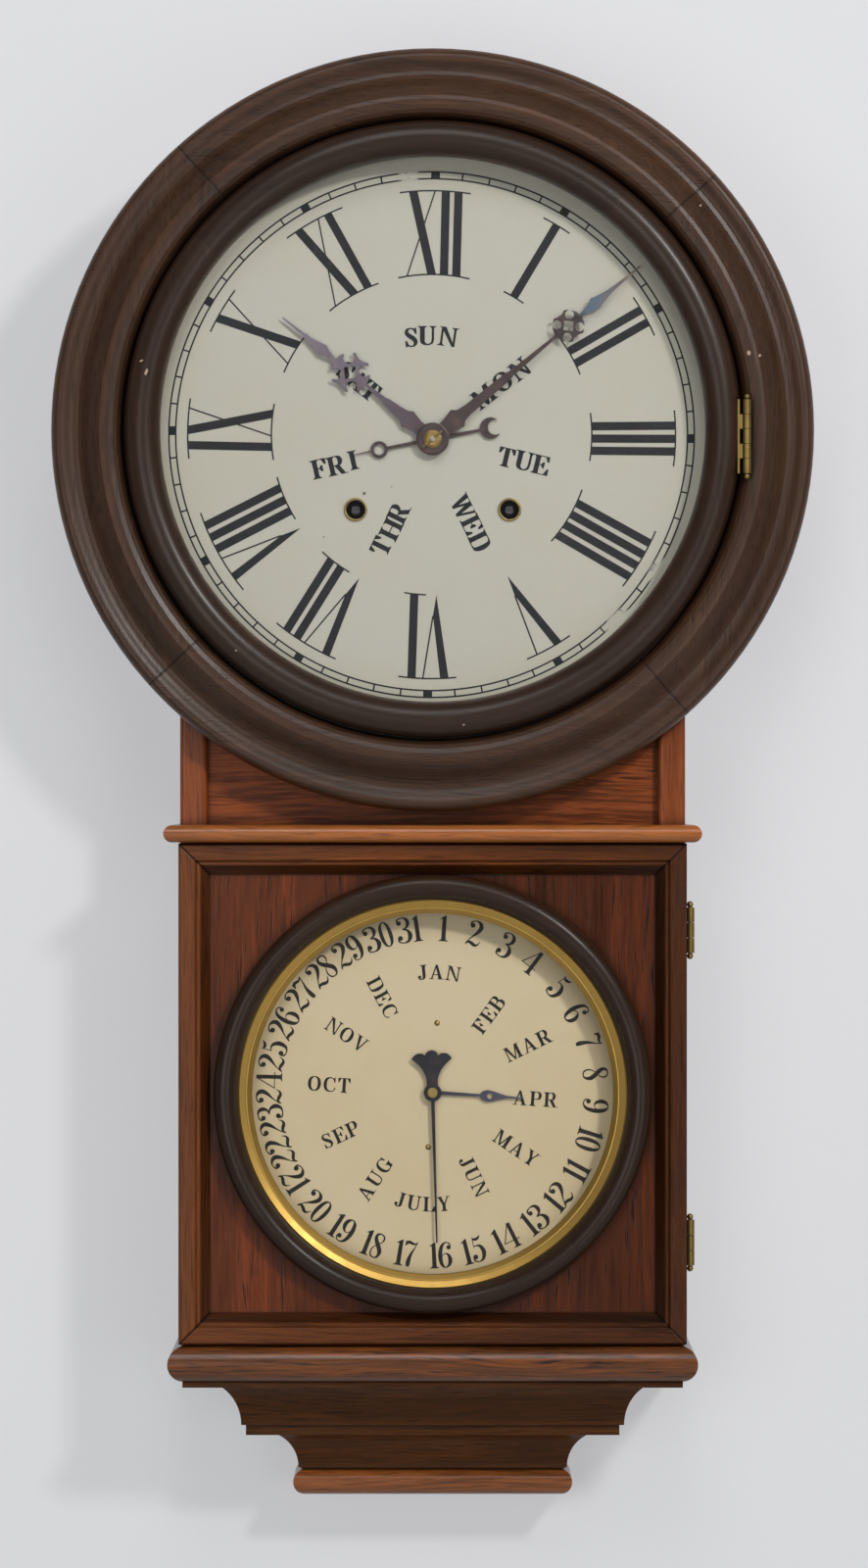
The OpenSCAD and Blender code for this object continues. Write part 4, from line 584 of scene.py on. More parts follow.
# Chips and stains in the dial paint: (x, z, radius, depth, colour)
TIME_STAINS = (
    (-0.0400, -0.1575, 0.0012, 0.9, shade(62, 52, 40)), (-0.0636, -0.1829, 0.0007, 0.8, shade(86, 76, 58)),
    (-0.0240, -0.1537, 0.0006, 0.7, shade(86, 76, 58)), (-0.0466, -0.1671, 0.0085, 0.5, shade(176, 166, 132)),
    (0.0439, -0.1679, 0.0080, 0.4, shade(176, 166, 132)))
SPECK, DARK_SPECK, RUST, CLEAR = shade(118, 104, 78), shade(70, 62, 50), shade(92, 62, 48), shade(252, 251, 250)
# Second tones of the metals, and tones along the hands
SPRING_BROWN, ARBOR_OIL, IRON_RUST = shade(60, 52, 50), shade(34, 32, 32), shade(70, 48, 36)
MINUTE_BLUE, MINUTE_TIP, HOUR_VIOLET = shade(76, 100, 118), shade(112, 96, 86), shade(86, 77, 88)
MONTH_HUB, MONTH_TIP = shade(34, 36, 44), shade(70, 76, 96)
# Chips in the rings: (x, z, half length, half width, degrees)
RING_CHIPS = ((0.1836, -0.0770, 0.0016, 0.0012, 90), (0.1900, -0.0785, 0.0011, 0.0008, 60),
              (0.1560, 0.0095, 0.0009, 0.0006, 40))
BEZEL_CHIPS = ((-0.1660, -0.0885, 0.0022, 0.0009, 70), (-0.1690, -0.0820, 0.0013, 0.0006, 20),
               (0.1420, -0.0560, 0.0024, 0.0008, 115), (0.1455, -0.0700, 0.0015, 0.0006, 110),
               (-0.1140, -0.2500, 0.0008, 0.0005, 45), (0.0180, -0.2930, 0.0007, 0.0005, 10))
# Worn edges of the turned rings: (radius, half width, how much)
RING_EDGES = ((0.2218, 0.0022, 0.5), (0.2165, 0.002, 0.3), (0.1920, 0.003, 0.35))
BEZEL_EDGES = ((0.1795, 0.0015, 0.3), (0.1586, 0.002, 0.3))
DOOR_RING_EDGES = ((0.128, 0.0015, 0.35),)


class Nodes:
    """Writes the shader nodes of a material or world."""

    def __init__(self, owner):
        self.owner = owner
        owner.use_nodes = True
        self.tree = owner.node_tree
        self.tree.nodes.clear()
        coordinates = self.add("ShaderNodeTexCoord").outputs
        self.place, self.facing, self.way = (coordinates[key] for key in ("Object", "Normal", "Generated"))
        self.x, self.y, self.z = self.split(self.place)

    def add(self, kind, **settings):
        node = self.tree.nodes.new(kind)
        for key, value in settings.items():
            setattr(node, key, value)
        return node

    def feed(self, socket, value):
        if isinstance(value, NodeSocket):
            self.tree.links.new(value, socket)
        elif socket.type == "RGBA" and len(value) == 3:
            socket.default_value = (*value, 1.0)
        else:
            socket.default_value = value

    def run(self, node, *values):
        for socket, value in zip(node.inputs, values):
            self.feed(socket, value)
        return node.outputs[0]

    def named(self, node, **values):
        for key, value in values.items():
            self.feed(node.inputs[key.replace("_", " ")], value)
        return node.outputs[0]

    def maths(self, operation, *values, clamp=False):
        return self.run(self.add("ShaderNodeMath", operation=operation, use_clamp=clamp), *values)

    def times(self, a, b):
        return self.maths("MULTIPLY", a, b)

    def minus(self, a, b):
        return self.maths("SUBTRACT", a, b)

    def absolute(self, value):
        return self.maths("ABSOLUTE", value)

    def sum(self, *terms):
        """The sum of number * socket over (number, socket) terms."""
        total = 0.0
        for k, value in terms:
            total = self.maths("MULTIPLY_ADD", value, k, total)
        return total

    def vector(self, operation, *values):
        return self.run(self.add("ShaderNodeVectorMath", operation=operation), *values)

    def long(self, vector):
        node = self.add("ShaderNodeVectorMath", operation="LENGTH")
        self.run(node, vector)
        return node.outputs["Value"]

    def split(self, vector):
        node = self.add("ShaderNodeSeparateXYZ")
        self.run(node, vector)
        return list(node.outputs)

    def together(self, x, y, z):
        return self.run(self.add("ShaderNodeCombineXYZ"), x, y, z)

    def away(self, x, z):
        """Distance from the line through (x, z) that stands square to the wall."""
        return self.long(self.together(self.minus(self.x, x), 0.0, self.minus(self.z, z)))

    def noise(self, at, scale, detail=2.0, rough=0.5, warp=0.0):
        """Noise from 0 to 1; scale is repeats per metre, one for each axis or one for all."""
        if isinstance(scale, tuple):
            at, scale = self.vector("MULTIPLY", at, scale), 1.0
        node = self.add("ShaderNodeTexNoise")
        self.named(node, Vector=at, Scale=scale, Detail=detail, Roughness=rough, Distortion=warp)
        return node.outputs["Fac"]

    def specks(self, scale, size, share):
        """Round specks: about one to each cell of 1 / scale metres where chance allows, size as a share of a cell."""
        node = self.add("ShaderNodeTexVoronoi")
        self.named(node, Vector=self.place, Scale=scale)
        chance = self.maths("LESS_THAN", self.split(node.outputs["Color"])[0], share)
        return self.times(self.step(node.outputs["Distance"], size, size * 0.6), chance)

    def step(self, value, low, high):
        """0 at low, 1 at high, smooth between; high may be the smaller."""
        node = self.add("ShaderNodeMapRange", interpolation_type="SMOOTHSTEP")
        if low > high:
            return self.run(node, value, high, low, 1.0, 0.0)
        return self.run(node, value, low, high, 0.0, 1.0)

    def blend(self, share, a, b):
        """A number between a and b."""
        return self.run(self.add("ShaderNodeMapRange"), share, 0.0, 1.0, a, b)

    def ramp(self, value, *stops):
        node = self.add("ShaderNodeValToRGB")
        marks = node.color_ramp.elements
        while len(marks) < len(stops):
            marks.new(0.5)
        for mark, (place, tone) in zip(marks, stops):
            mark.position, mark.color = place, (*tone, 1.0)
        self.feed(node.inputs["Fac"], value)
        return node.outputs["Color"]

    def mix(self, share, a, b, way="MIX"):
        node = self.add("ShaderNodeMix", data_type="RGBA", blend_type=way)
        for socket, value in ((node.inputs["Factor"], share), (node.inputs[6], a), (node.inputs[7], b)):
            self.feed(socket, value)
        return node.outputs[2]

    def over(self, base, tone, share, much):
        """base with tone laid over it by share times much."""
        return self.mix(self.times(share, much), base, tone)

    def dye(self, base, tone, share=1.0):
        """base multiplied by tone."""
        return self.mix(share, base, tone, "MULTIPLY")

    def mixed(self, share, a, b):
        """A shader between the shaders a and b."""
        return self.run(self.add("ShaderNodeMixShader"), share, a, b)

    def bump(self, height, distance, strength):
        node = self.add("ShaderNodeBump")
        self.named(node, Strength=strength, Distance=distance, Height=height)
        return node.outputs["Normal"]

    def dirt(self, reach):
        """How open the surface is, from 0 in a corner narrower than reach to 1."""
        node = self.add("ShaderNodeAmbientOcclusion", samples=6)
        self.feed(node.inputs["Distance"], reach)
        return node.outputs["AO"]

    def surface(self, **values):
        return self.named(self.add("ShaderNodeBsdfPrincipled"), **values)

    def finish(self, shader, kind="ShaderNodeOutputMaterial"):
        self.feed(self.add(kind).inputs["Surface"], shader)
        return self.owner


def material_nodes(name):
    return Nodes(bpy.data.materials.new(name))


def toned(tone, k):
    return tuple(min(1.0, c * k) for c in tone)


class Grain(NamedTuple):
    """Where the grain of a piece runs, as sockets of its material."""
    flow: NodeSocket           # a place whose x runs along the grain
    joint: NodeSocket = None   # metres to the nearest glued joint
    part: NodeSocket = None    # a number for each glued part
    inset: NodeSocket = None   # metres in from the outer edge


def upright(n):
    """Grain from top to bottom."""
    return Grain(n.together(n.z, n.x, n.y))


def level(n):
    """Grain from side to side, and from front to back on the faces that end a moulding."""
    side = n.step(n.absolute(n.split(n.facing)[0]), 0.55, 0.8)
    node = n.add("ShaderNodeMix", data_type="VECTOR")
    for socket, value in ((node.inputs["Factor"], side), (node.inputs[4], n.together(n.x, n.z, n.y)),
                          (node.inputs[5], n.together(n.y, n.z, n.x))):
        n.feed(socket, value)
    return Grain(node.outputs[1])


def ring_grain(n, centre, skew):
    """Grain along the four parts of a ring, with its joints on the diagonals turned by skew degrees."""
    x, z = n.minus(n.x, centre[0]), n.minus(n.z, centre[1])
    c, s = math.cos(math.radians(skew)), math.sin(math.radians(skew))
    right, up = n.sum((c, x), (-s, z)), n.sum((s, x), (c, z))
    from_side, from_top = n.absolute(right), n.absolute(up)
    lying = n.maths("GREATER_THAN", from_top, from_side)
    along, across = n.blend(lying, up, right), n.blend(lying, right, up)
    part = n.sum((3.1, lying), (1.7, n.maths("SIGN", across)))
    return Grain(n.together(along, across, n.maths("ADD", n.y, part)), n.absolute(n.minus(from_top, from_side)), part)


def frame_grain(n, low, high):
    """Grain along four mitred rails that fill the box from low to high."""
    middle, half = (low + high) / 2, (high - low) / 2
    x, z = n.minus(n.x, middle.x), n.minus(n.z, middle.z)
    from_side, from_end = n.minus(half.x, n.absolute(x)), n.minus(half.z, n.absolute(z))
    lying = n.maths("GREATER_THAN", from_side, from_end)
    part = n.sum((2.3, lying), (1.1, n.maths("SIGN", n.blend(lying, x, z))))
    flow = n.together(n.blend(lying, z, x), n.blend(lying, x, z), n.maths("ADD", n.y, part))
    return Grain(flow, n.absolute(n.minus(from_side, from_end)), part, n.maths("MINIMUM", from_side, from_end))


# Figure of the woods: repeats per metre along and across the grain
BROAD, BANDS, STREAK = (2.2, 22, 22), (5, 130, 130), (26, 560, 560)
FIBRE, PORE = (40, 1700, 1700), (34, 820, 820)
# The grain sways off its line by up to half of SWAY
SWAY_UP, SWAY_OUT, SWAY = (5, 9, 9), (4, 7, 11), 0.02
# Half the width over which the painted shade on the inner slope of a frame comes in
SOFT_EDGE = 0.0006


def wood(name, tone, grain, *, seed, bold=1.0, pores=0.6, rough=0.29, coat=0.1, shine=0.3, tight=1.0, grime_and_shade=0.8,
         rightward_darkening=None, seam=1.0, more=None):
    """Varnished wood with its figure, pores, glued joints, and painted shade, standing also for grime, in its corners.

    seed moves the figure along, bold deepens it and tight packs it closer. pores, grime_and_shade and seam say how dark
    those are, grime_and_shade being the painted shade in corners, and rough, coat and shine what the varnish is like.
    rightward_darkening is (x on the left, x on the right, tone there as a share of the tone on the left): the wood
    grows darker toward the right. more(n, base, run) works further on the colour."""
    n = material_nodes(name)
    run = grain(n)
    flow = n.vector("ADD", run.flow, (seed, seed * 0.37, seed * 0.71))
    drift = n.together(0.0, n.noise(flow, SWAY_UP), n.noise(flow, SWAY_OUT))
    sway = n.vector("MULTIPLY_ADD", n.vector("SUBTRACT", drift, (0.0, 0.5, 0.5)), (0.0, SWAY, SWAY), flow)
    broad = n.noise(sway, tuple(k * tight for k in BROAD), 3.0, 0.55)
    bands = n.noise(sway, tuple(k * tight for k in BANDS), 4.0, 0.62, 0.4)
    streak = n.noise(sway, STREAK, 3.0, 0.62)
    fibre = n.noise(sway, FIBRE, 2.0, 0.6)
    pore = n.times(n.step(n.noise(sway, PORE, 2.0, 0.6), 0.54, 0.66), n.step(bands, 0.30, 0.60))
    figure = n.sum((0.30, broad), (0.34, bands), (0.26, streak), (0.10, fibre))
    spread = 0.13 / bold
    red, green, blue = tone
    base = n.ramp(figure, (0.5 - spread, toned(tone, 0.42)), (0.5 - spread * 0.2, tone),
                  (0.5 + spread * 0.35, toned(tone, 1.18)), (0.5 + spread, (red * 1.9, green * 1.75, blue * 1.5)))
    base = n.over(base, toned(tone, 0.16), pore, pores)
    # The tone darkens toward the right, down to the given share between the two x
    if rightward_darkening:
        left, right, share = rightward_darkening
        base = n.dye(base, (share,) * 3, n.step(n.sum((1.0, n.x), (0.05, broad)), left, right))
    gloss = n.sum((0.10, fibre), (0.12, n.noise(n.place, 14.0, 3.0)), (1.0, rough - 0.11))
    relief = [(0.5, fibre), (-0.9, pore), (0.35, bands)]
    if run.joint is not None:
        tint = n.blend(n.noise(n.together(run.part, seed, 0.3), 2.3), 0.55, 1.45)
        base = n.dye(base, n.together(tint, tint, tint))
        line = n.times(n.step(run.joint, 0.0013, 0.0003), seam)
        base = n.over(base, toned(tone, 0.1), line, 0.85)
        gloss = n.sum((1.0, gloss), (0.35, line))
        relief.append((-5.0, line))
    if more:
        base = more(n, base, run)
    # Painted shade: the colour darkens in corners and recesses that ambient occlusion finds within 10 mm, standing also
    # for grime there
    base = n.over(base, toned(tone, 0.18), n.step(n.dirt(0.010), 0.85, 0.3), grime_and_shade)
    return n.finish(n.surface(Base_Color=base, Roughness=gloss, Specular_IOR_Level=shine, Coat_Weight=coat,
                              Coat_Roughness=0.24, Normal=n.bump(n.sum(*relief), 0.00012, 0.5)))


def inner_slope(n, base, run, start, share):
    """Painted shade: keeps only a share of a frame's colour where it slopes inward, from start metres in from its outer
    edge.
    """
    return n.mix(n.step(run.inset, start - SOFT_EDGE, start + SOFT_EDGE), base, n.dye(base, (share,) * 3))


def rubbed(n, base, run, tone, bare, edges, chips=(), centre=HEAD):
    """Shows the wood at the worn edges and in the chips of a ring."""
    r = n.away(*centre)
    patchy = n.step(n.noise(n.place, 7.0, 5.0, 0.65), 0.45, 0.66)
    for radius, half, much in edges:
        near = n.step(n.absolute(n.minus(r, radius)), half, 0.0)
        base = n.over(base, tone, n.times(near, much), n.blend(patchy, 0.12, 1.0))
    ragged = n.sum((0.9, n.noise(n.place, 900.0, 3.0, 0.7)), (1.0, -0.45))
    for x, z, long, wide, turn in chips:
        c, s = math.cos(math.radians(turn)), math.sin(math.radians(turn))
        dx, dz = n.minus(n.x, x), n.minus(n.z, z)
        u, v = n.sum((c / long, dx), (s / long, dz)), n.sum((-s / wide, dx), (c / wide, dz))
        base = n.mix(n.step(n.maths("ADD", n.long(n.together(u, 0.0, v)), ragged), 1.0, 0.7), base, bare)
    return base


def metal(name, tone, low_tone, *, rough, aged, scratch=0.3, shaded=(), reach=0.0):
    """Metal with tarnish in patches, fine scratches and a soft unevenness, and painted shade, near black, within reach
    of the places in shaded.
    """
    n = material_nodes(name)
    patches = n.noise(n.place, 70.0, 5.0, 0.6, 0.6)
    fine = n.noise(n.place, (2200, 900, 2200), 2.0)
    spots = n.step(n.noise(n.place, 420.0, 3.0, 0.6), 0.60, 0.72)
    base = n.over(tone, low_tone, n.step(n.sum((0.75, patches), (0.25, fine)), 0.38, 0.66), aged)
    base = n.over(base, toned(low_tone, 0.5), spots, aged * 0.5)
    # Painted shade: near black round each of these places, where the winding holes go deep
    for middle in shaded:
        base = n.mix(n.step(n.away(middle.x, middle.z), reach, reach - 0.0004), base, toned(low_tone, 0.04))
    gloss = n.sum((0.22, patches), (0.16 * scratch, fine), (1.0, rough - 0.11))
    return n.finish(n.surface(Base_Color=base, Roughness=gloss, Metallic=1.0,
                              Normal=n.bump(n.sum((1.0, fine), (0.6, patches)), 0.00004, scratch)))


def hand_steel(name, arbor, *stops, metallic=0.35):
    """Steel of a hand, its colour changing with the distance from the arbor: stops of (metres, colour)."""
    n = material_nodes(name)
    cloudy = n.noise(n.place, 130.0, 4.0, 0.6, 0.5)
    reach = stops[-1][0]
    along = n.sum((1 / reach, n.away(*arbor)), (0.16, cloudy), (1.0, -0.08))
    base = n.ramp(along, *[(at / reach, tone) for at, tone in stops])
    fine = n.noise(n.place, 1500.0, 3.0, 0.6)
    base = n.mix(n.step(n.sum((0.7, cloudy), (0.3, fine)), 0.5, 0.68), base, n.mix(0.55, base, RUST))
    return n.finish(n.surface(Base_Color=base, Roughness=n.sum((0.3, cloudy), (1.0, 0.21)), Metallic=metallic,
                              Normal=n.bump(fine, 0.00003, 0.35)))


def paint(name, tone, warm, centre, rim, stains=()):
    """Aged dial paint: faint clouds, fine brush texture, specks and stains, and a warmer tint toward the rim, on the
    calendar dial partly a painted reflection of its brass sight ring.
    """
    n = material_nodes(name)
    clouds = n.noise(n.place, 16.0, 5.0, 0.62)
    fine = n.noise(n.place, 700.0, 3.0, 0.6)
    base = n.over(tone, warm, n.step(clouds, 0.35, 0.75), 0.32)
    # Warmer toward the rim: aged yellowing, and on the calendar dial also a painted reflection of the brass sight ring
    base = n.over(base, warm, n.step(n.away(*centre), rim * 0.8, rim * 1.06), 0.45)
    base = n.over(base, toned(warm, 0.72), n.step(fine, 0.45, 0.75), 0.10)
    base = n.over(base, SPECK, n.specks(95.0, 0.035, 0.16), 0.6)
    base = n.over(base, DARK_SPECK, n.specks(60.0, 0.022, 0.10), 0.8)
    for x, z, size, depth, mark in stains:
        ragged = n.sum((1.0, n.away(x, z)), (size * 0.9, fine), (size, -0.45))
        base = n.over(base, mark, n.step(ragged, size, size * 0.5), depth)
    gloss = n.sum((0.2, clouds), (0.1, fine), (1.0, 0.30))
    return n.finish(n.surface(Base_Color=base, Roughness=gloss, Specular_IOR_Level=0.3,
                              Normal=n.bump(n.sum((1.0, fine), (2.0, clouds)), 0.00004, 0.25)))


def ink(name, tone, ground, worn=()):
    """Printed black, thin in places; worn spots let the ground through."""
    n = material_nodes(name)
    grain = n.noise(n.place, 1300.0, 3.0, 0.65)
    patch = n.noise(n.place, 90.0, 3.0, 0.6)
    base = n.mix(n.step(patch, 0.35, 0.7), toned(tone, 0.8), toned(tone, 1.35))
    base = n.over(base, n.mix(0.5, tone, ground), n.step(n.sum((0.75, grain), (0.25, patch)), 0.62, 0.70), 0.5)
    for x, z, size, much in worn:
        near = n.step(n.away(x, z), size, size * 0.4)
        gone = n.step(n.sum((1.0, grain), (0.35 * much, near), (1.0, -0.5)), 0.18, 0.24)
        base = n.over(base, ground, gone, near)
    return n.finish(n.surface(Base_Color=base, Roughness=n.sum((0.3, grain), (1.0, 0.4)), Specular_IOR_Level=0.2,
                              Normal=n.bump(grain, 0.00002, 0.3)))


def pane(name):
    """Clear glass that lets the lamps through."""
    n = material_nodes(name)
    dusty = n.step(n.noise(n.place, 260.0, 4.0, 0.7), 0.55, 0.8)
    glass = n.surface(Base_Color=CLEAR, Roughness=n.times(dusty, 0.05), IOR=1.45, Transmission_Weight=1.0,
                      Normal=n.bump(n.noise(n.place, 9.0, 1.0), 0.0002, 0.2))
    path = n.add("ShaderNodeLightPath").outputs
    unseen = n.maths("MAXIMUM", path["Is Shadow Ray"], path["Is Diffuse Ray"])
    return n.finish(n.mixed(unseen, glass, n.named(n.add("ShaderNodeBsdfTransparent"), Color=CLEAR)))


def coat(material, *names):
    """Gives CAD nodes a finish."""
    for name in names:
        node = frame["nodes"][name]
        if not node.material_slots:
            node.data.materials.append(material)
        for slot in node.material_slots:
            slot.material = material


class CLOCK_OT_time_print(Operator):
    """Print the hour numerals, minute track and weekdays on the time dial"""
    bl_idname = "clock.time_print"
    bl_label = "Print Time Dial"
    bl_options = {"REGISTER", "UNDO"}

    def execute(self, context):
        p = context.scene.clock_time
        black = ink("time_ink", p.ink, p.paint, TIME_WORN)
        for name, signs in (("hour_numerals", hour_signs(p)), ("minute_track", track_signs(p)),
                            ("weekday_names", weekday_signs(p))):
            print_on(name, signs, TIME_FACE, "case", black)
        return {"FINISHED"}


class CLOCK_OT_calendar_print(Operator):
    """Print the dates and months on the calendar dial"""
    bl_idname = "clock.calendar_print"
    bl_label = "Print Calendar Dial"
    bl_options = {"REGISTER", "UNDO"}

    def execute(self, context):
        p = context.scene.clock_calendar
        black = ink("calendar_ink", p.ink, p.paint)
        for name, signs in (("date_figures", date_signs(p)), ("month_names", month_signs(p))):
            print_on(name, signs, CALENDAR_FACE, "case", black)
        return {"FINISHED"}


class CLOCK_OT_dial_paint(Operator):
    """Paint both dials"""
    bl_idname = "clock.dial_paint"
    bl_label = "Paint Dials"
    bl_options = {"REGISTER", "UNDO"}

    def execute(self, context):
        p, q = context.scene.clock_time, context.scene.clock_calendar
        coat(paint("time_enamel", p.paint, p.warm, HEAD, 0.16, TIME_STAINS), "time_dial")
        coat(paint("calendar_enamel", q.paint, q.warm, CALENDAR_ARBOR, 0.104), "calendar_dial")
        return {"FINISHED"}


class CLOCK_OT_rings(Operator):
    """Finish the turned black rings"""
    bl_idname = "clock.rings"
    bl_label = "Finish Rings"
    bl_options = {"REGISTER", "UNDO"}

    def execute(self, context):
        w = context.scene.clock_wood
        worn = partial(rubbed, tone=w.rubbed, bare=w.chipped)
        black = toned(w.ring, 0.5)
        coat(wood("ring_wood", w.ring, partial(ring_grain, centre=HEAD, skew=3.0), seed=1.3, rough=0.42, grime_and_shade=0.7,
                  shine=0.24, seam=0.8, more=partial(worn, edges=RING_EDGES, chips=RING_CHIPS)), "head_ring")
        coat(wood("bezel_wood", black, partial(ring_grain, centre=HEAD, skew=-6.0), seed=4.1, bold=0.7, pores=0.4,
                  rough=0.39, coat=0.16, grime_and_shade=0.6, shine=0.22, seam=0.2,
                  more=partial(worn, edges=BEZEL_EDGES, chips=BEZEL_CHIPS)), "bezel_ring")
        coat(wood("door_ring_wood", black, partial(ring_grain, centre=CALENDAR_ARBOR, skew=2.0), seed=7.7, bold=0.7,
                  pores=0.4, rough=0.38, coat=0.14, grime_and_shade=0.6, shine=0.17, seam=0.2,
                  more=partial(worn, edges=DOOR_RING_EDGES, centre=CALENDAR_ARBOR)), "door_ring")
        return {"FINISHED"}


class CLOCK_OT_case_wood(Operator):
    """Finish the woods of the case"""
    bl_idname = "clock.case_wood"
    bl_label = "Finish Case"
    bl_options = {"REGISTER", "UNDO"}

    def execute(self, context):
        w = context.scene.clock_wood
        plain = partial(wood, bold=0.8, pores=0.2, rough=0.6, coat=0.0, grime_and_shade=0.3)
        coat(wood("side_wood", w.case, upright, seed=2.2, bold=1.2, coat=0.05, shine=0.2), "case_sides")
        coat(wood("frieze_wood", toned(w.case, 1.2), level, seed=3.4, bold=1.5, pores=0.85, coat=0.0, shine=0.15),
             "frieze_panel")
        coat(wood("belt_wood", w.belt, level, seed=5.5, rough=0.28, coat=0.3), "belt_moulding")
        coat(wood("torus_wood", w.base, level, seed=6.1, bold=1.9, pores=0.95, coat=0.5, shine=0.15), "base_torus")
        coat(wood("cove_wood", w.drop, level, seed=8.3, bold=1.2, coat=0.0, shine=0.12), "base_coves")
        # The roll's tone, 2.5 times the base's, is partly a painted highlight on its rounded top
        coat(wood("roll_wood", toned(w.base, 2.5), level, seed=9.2, bold=1.1, coat=0.5, shine=0.15), "base_roll")
        coat(plain("back_wood", w.inner, upright, seed=11.0), "backboard", "dial_board")
        coat(plain("end_wood", w.inner, level, seed=12.0), "case_ends")
        return {"FINISHED"}


class CLOCK_OT_door_wood(Operator):
    """Finish the frame and panel of the door"""
    bl_idname = "clock.door_wood"
    bl_label = "Finish Door"
    bl_options = {"REGISTER", "UNDO"}

    def execute(self, context):
        w = context.scene.clock_wood
        low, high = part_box("door_frame")
        # The frame's inward slope is darkened with painted shade
        coat(wood("frame_wood", w.door, partial(frame_grain, low=low, high=high), seed=13.1, bold=1.2, coat=0.0,
                  shine=0.17, rightward_darkening=(-0.12, 0.16, 0.5), more=partial(inner_slope, start=0.0128, share=0.35)),
             "door_frame")
        coat(wood("panel_wood", w.panel, upright, seed=14.9, bold=1.35, tight=0.7, pores=0.95, coat=0.0, shine=0.15,
                  rightward_darkening=(-0.10, 0.14, 0.6)), "door_panel")
        return {"FINISHED"}


class CLOCK_OT_metal(Operator):
    """Finish the brass, steel, iron and blued hands"""
    bl_idname = "clock.metal"
    bl_label = "Finish Metal"
    bl_options = {"REGISTER", "UNDO"}

    def execute(self, context):
        m = context.scene.clock_metal
        slots = {}
        for part in frame["record"]["subparts"]:
            slots.setdefault(part["material_slot"], []).append(part["node"])
        holes = [sum(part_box(node), Vector()) / 2 for node in ("time_arbor", "strike_arbor")]
        coat(metal("aged_brass", m.brass, m.tarnish, rough=0.32, aged=0.65), *slots["brass"])
        coat(metal("sight_brass", toned(m.brass, 0.72), toned(m.brass, 0.5), rough=0.42, aged=0.25, scratch=0.12),
             "sight_ring")
        # The plates behind the winding holes and the holes' brass edges get painted shade round the hole middles
        coat(metal("shaded_brass", m.brass, m.tarnish, rough=0.4, aged=0.65, shaded=holes, reach=0.009),
             "movement_plates")
        coat(metal("hole_brass", m.hole_brass, m.dull_tarnish, rough=0.42, aged=0.5, shaded=holes, reach=0.0052),
             "winding_grommets")
        coat(metal("dull_brass", m.dull_brass, m.dull_tarnish, rough=0.42, aged=0.5), "date_wheel", "brass_screws",
             "hand_fastening", *[node for node in slots["brass"] if "hinge" in node])
        coat(metal("bright_steel", m.steel, toned(m.steel, 0.5), rough=0.3, aged=0.5), *slots["steel"])
        coat(metal("spring_blue", m.spring, SPRING_BROWN, rough=0.35, aged=0.4), *slots["spring_steel"])
        # The winding arbors' darker steel is partly painted shade
        coat(metal("arbor_steel", m.arbor, ARBOR_OIL, rough=0.28, aged=0.4), "time_arbor", "strike_arbor")
        coat(metal("cast_iron", m.iron, IRON_RUST, rough=0.55, aged=0.5, scratch=0.8), *slots["iron"])
        brown, blue, black = m.dark_steel, m.blue_steel, m.black_steel
        coat(hand_steel("minute_steel", HAND_ARBOR, (0.0, brown), (0.09, toned(brown, 0.85)), (0.108, brown),
                        (0.12, MINUTE_BLUE), (0.15, MINUTE_TIP)), "minute_hand")
        coat(hand_steel("hour_steel", HAND_ARBOR, (0.0, toned(brown, 1.3)), (0.03, HOUR_VIOLET),
                        (0.10, toned(blue, 1.15))), "hour_hand")
        coat(hand_steel("weekday_steel", HAND_ARBOR, (0.0, brown), (0.1, toned(brown, 0.9))), "weekday_hand")
        coat(hand_steel("month_steel", CALENDAR_ARBOR, (0.0, MONTH_HUB), (0.05, MONTH_TIP)), "month_hand")
        coat(hand_steel("date_steel", CALENDAR_ARBOR, (0.0, black), (0.09, black), metallic=0.6), "date_hand")
        return {"FINISHED"}


class CLOCK_OT_glass(Operator):
    """Glaze the bezel and the door"""
    bl_idname = "clock.glass"
    bl_label = "Glaze"
    bl_options = {"REGISTER", "UNDO"}

    def execute(self, context):
        coat(pane("clear_glass"), "bezel_glass", "door_glass")
        return {"FINISHED"}


# How far the front of the bezel lies behind the foremost point of the clock, and the camera's sensor in mm
BEZEL_BACK, SENSOR = 0.004, 36.0
# The wall just behind the clock and the floor far below it, joined by a bend
WALL_GAP, WALL_TOP, WALL_FOOT, WALL_HALF, FLOOR_REACH, BEND, BEND_STEPS = 0.0006, 2.2, -1.7, 4.0, 5.0, 0.4, 12
ROOM_TONE = (0.98, 0.99, 1.0)
LAMP_AIM = (0.0, -0.1, -0.32)
LEFT_SHARE, RIGHT_SHARE = 1.3, 0.8
# Lamps: (place, width, colour)
LAMPS = {
    "key": ((1.35, -2.5, 1.0), 0.35, (1.0, 0.99, 0.975)),
    "top": ((-0.1, -2.1, 1.5), 1.2, (0.985, 0.99, 1.0)),
    "fill_left": ((-1.0, -3.0, -0.5), 1.5, (0.99, 1.0, 0.99)),
    "fill_right": ((1.3, -2.9, -1.0), 1.5, (0.99, 0.99, 1.0)),
}


def add_camera(scene, s):
    data = bpy.data.cameras.new("camera")
    data.sensor_width = SENSOR
    data.lens = SENSOR / 2 * s.distance / (s.view / 2)
    camera = bpy.data.objects.new("camera", data)
    camera.location = (s.across, CAD_BOX[0].y + BEZEL_BACK - s.distance, s.height)
    camera.rotation_euler = (math.pi / 2, 0.0, 0.0)
    scene.collection.objects.link(camera)
    scene.camera = camera


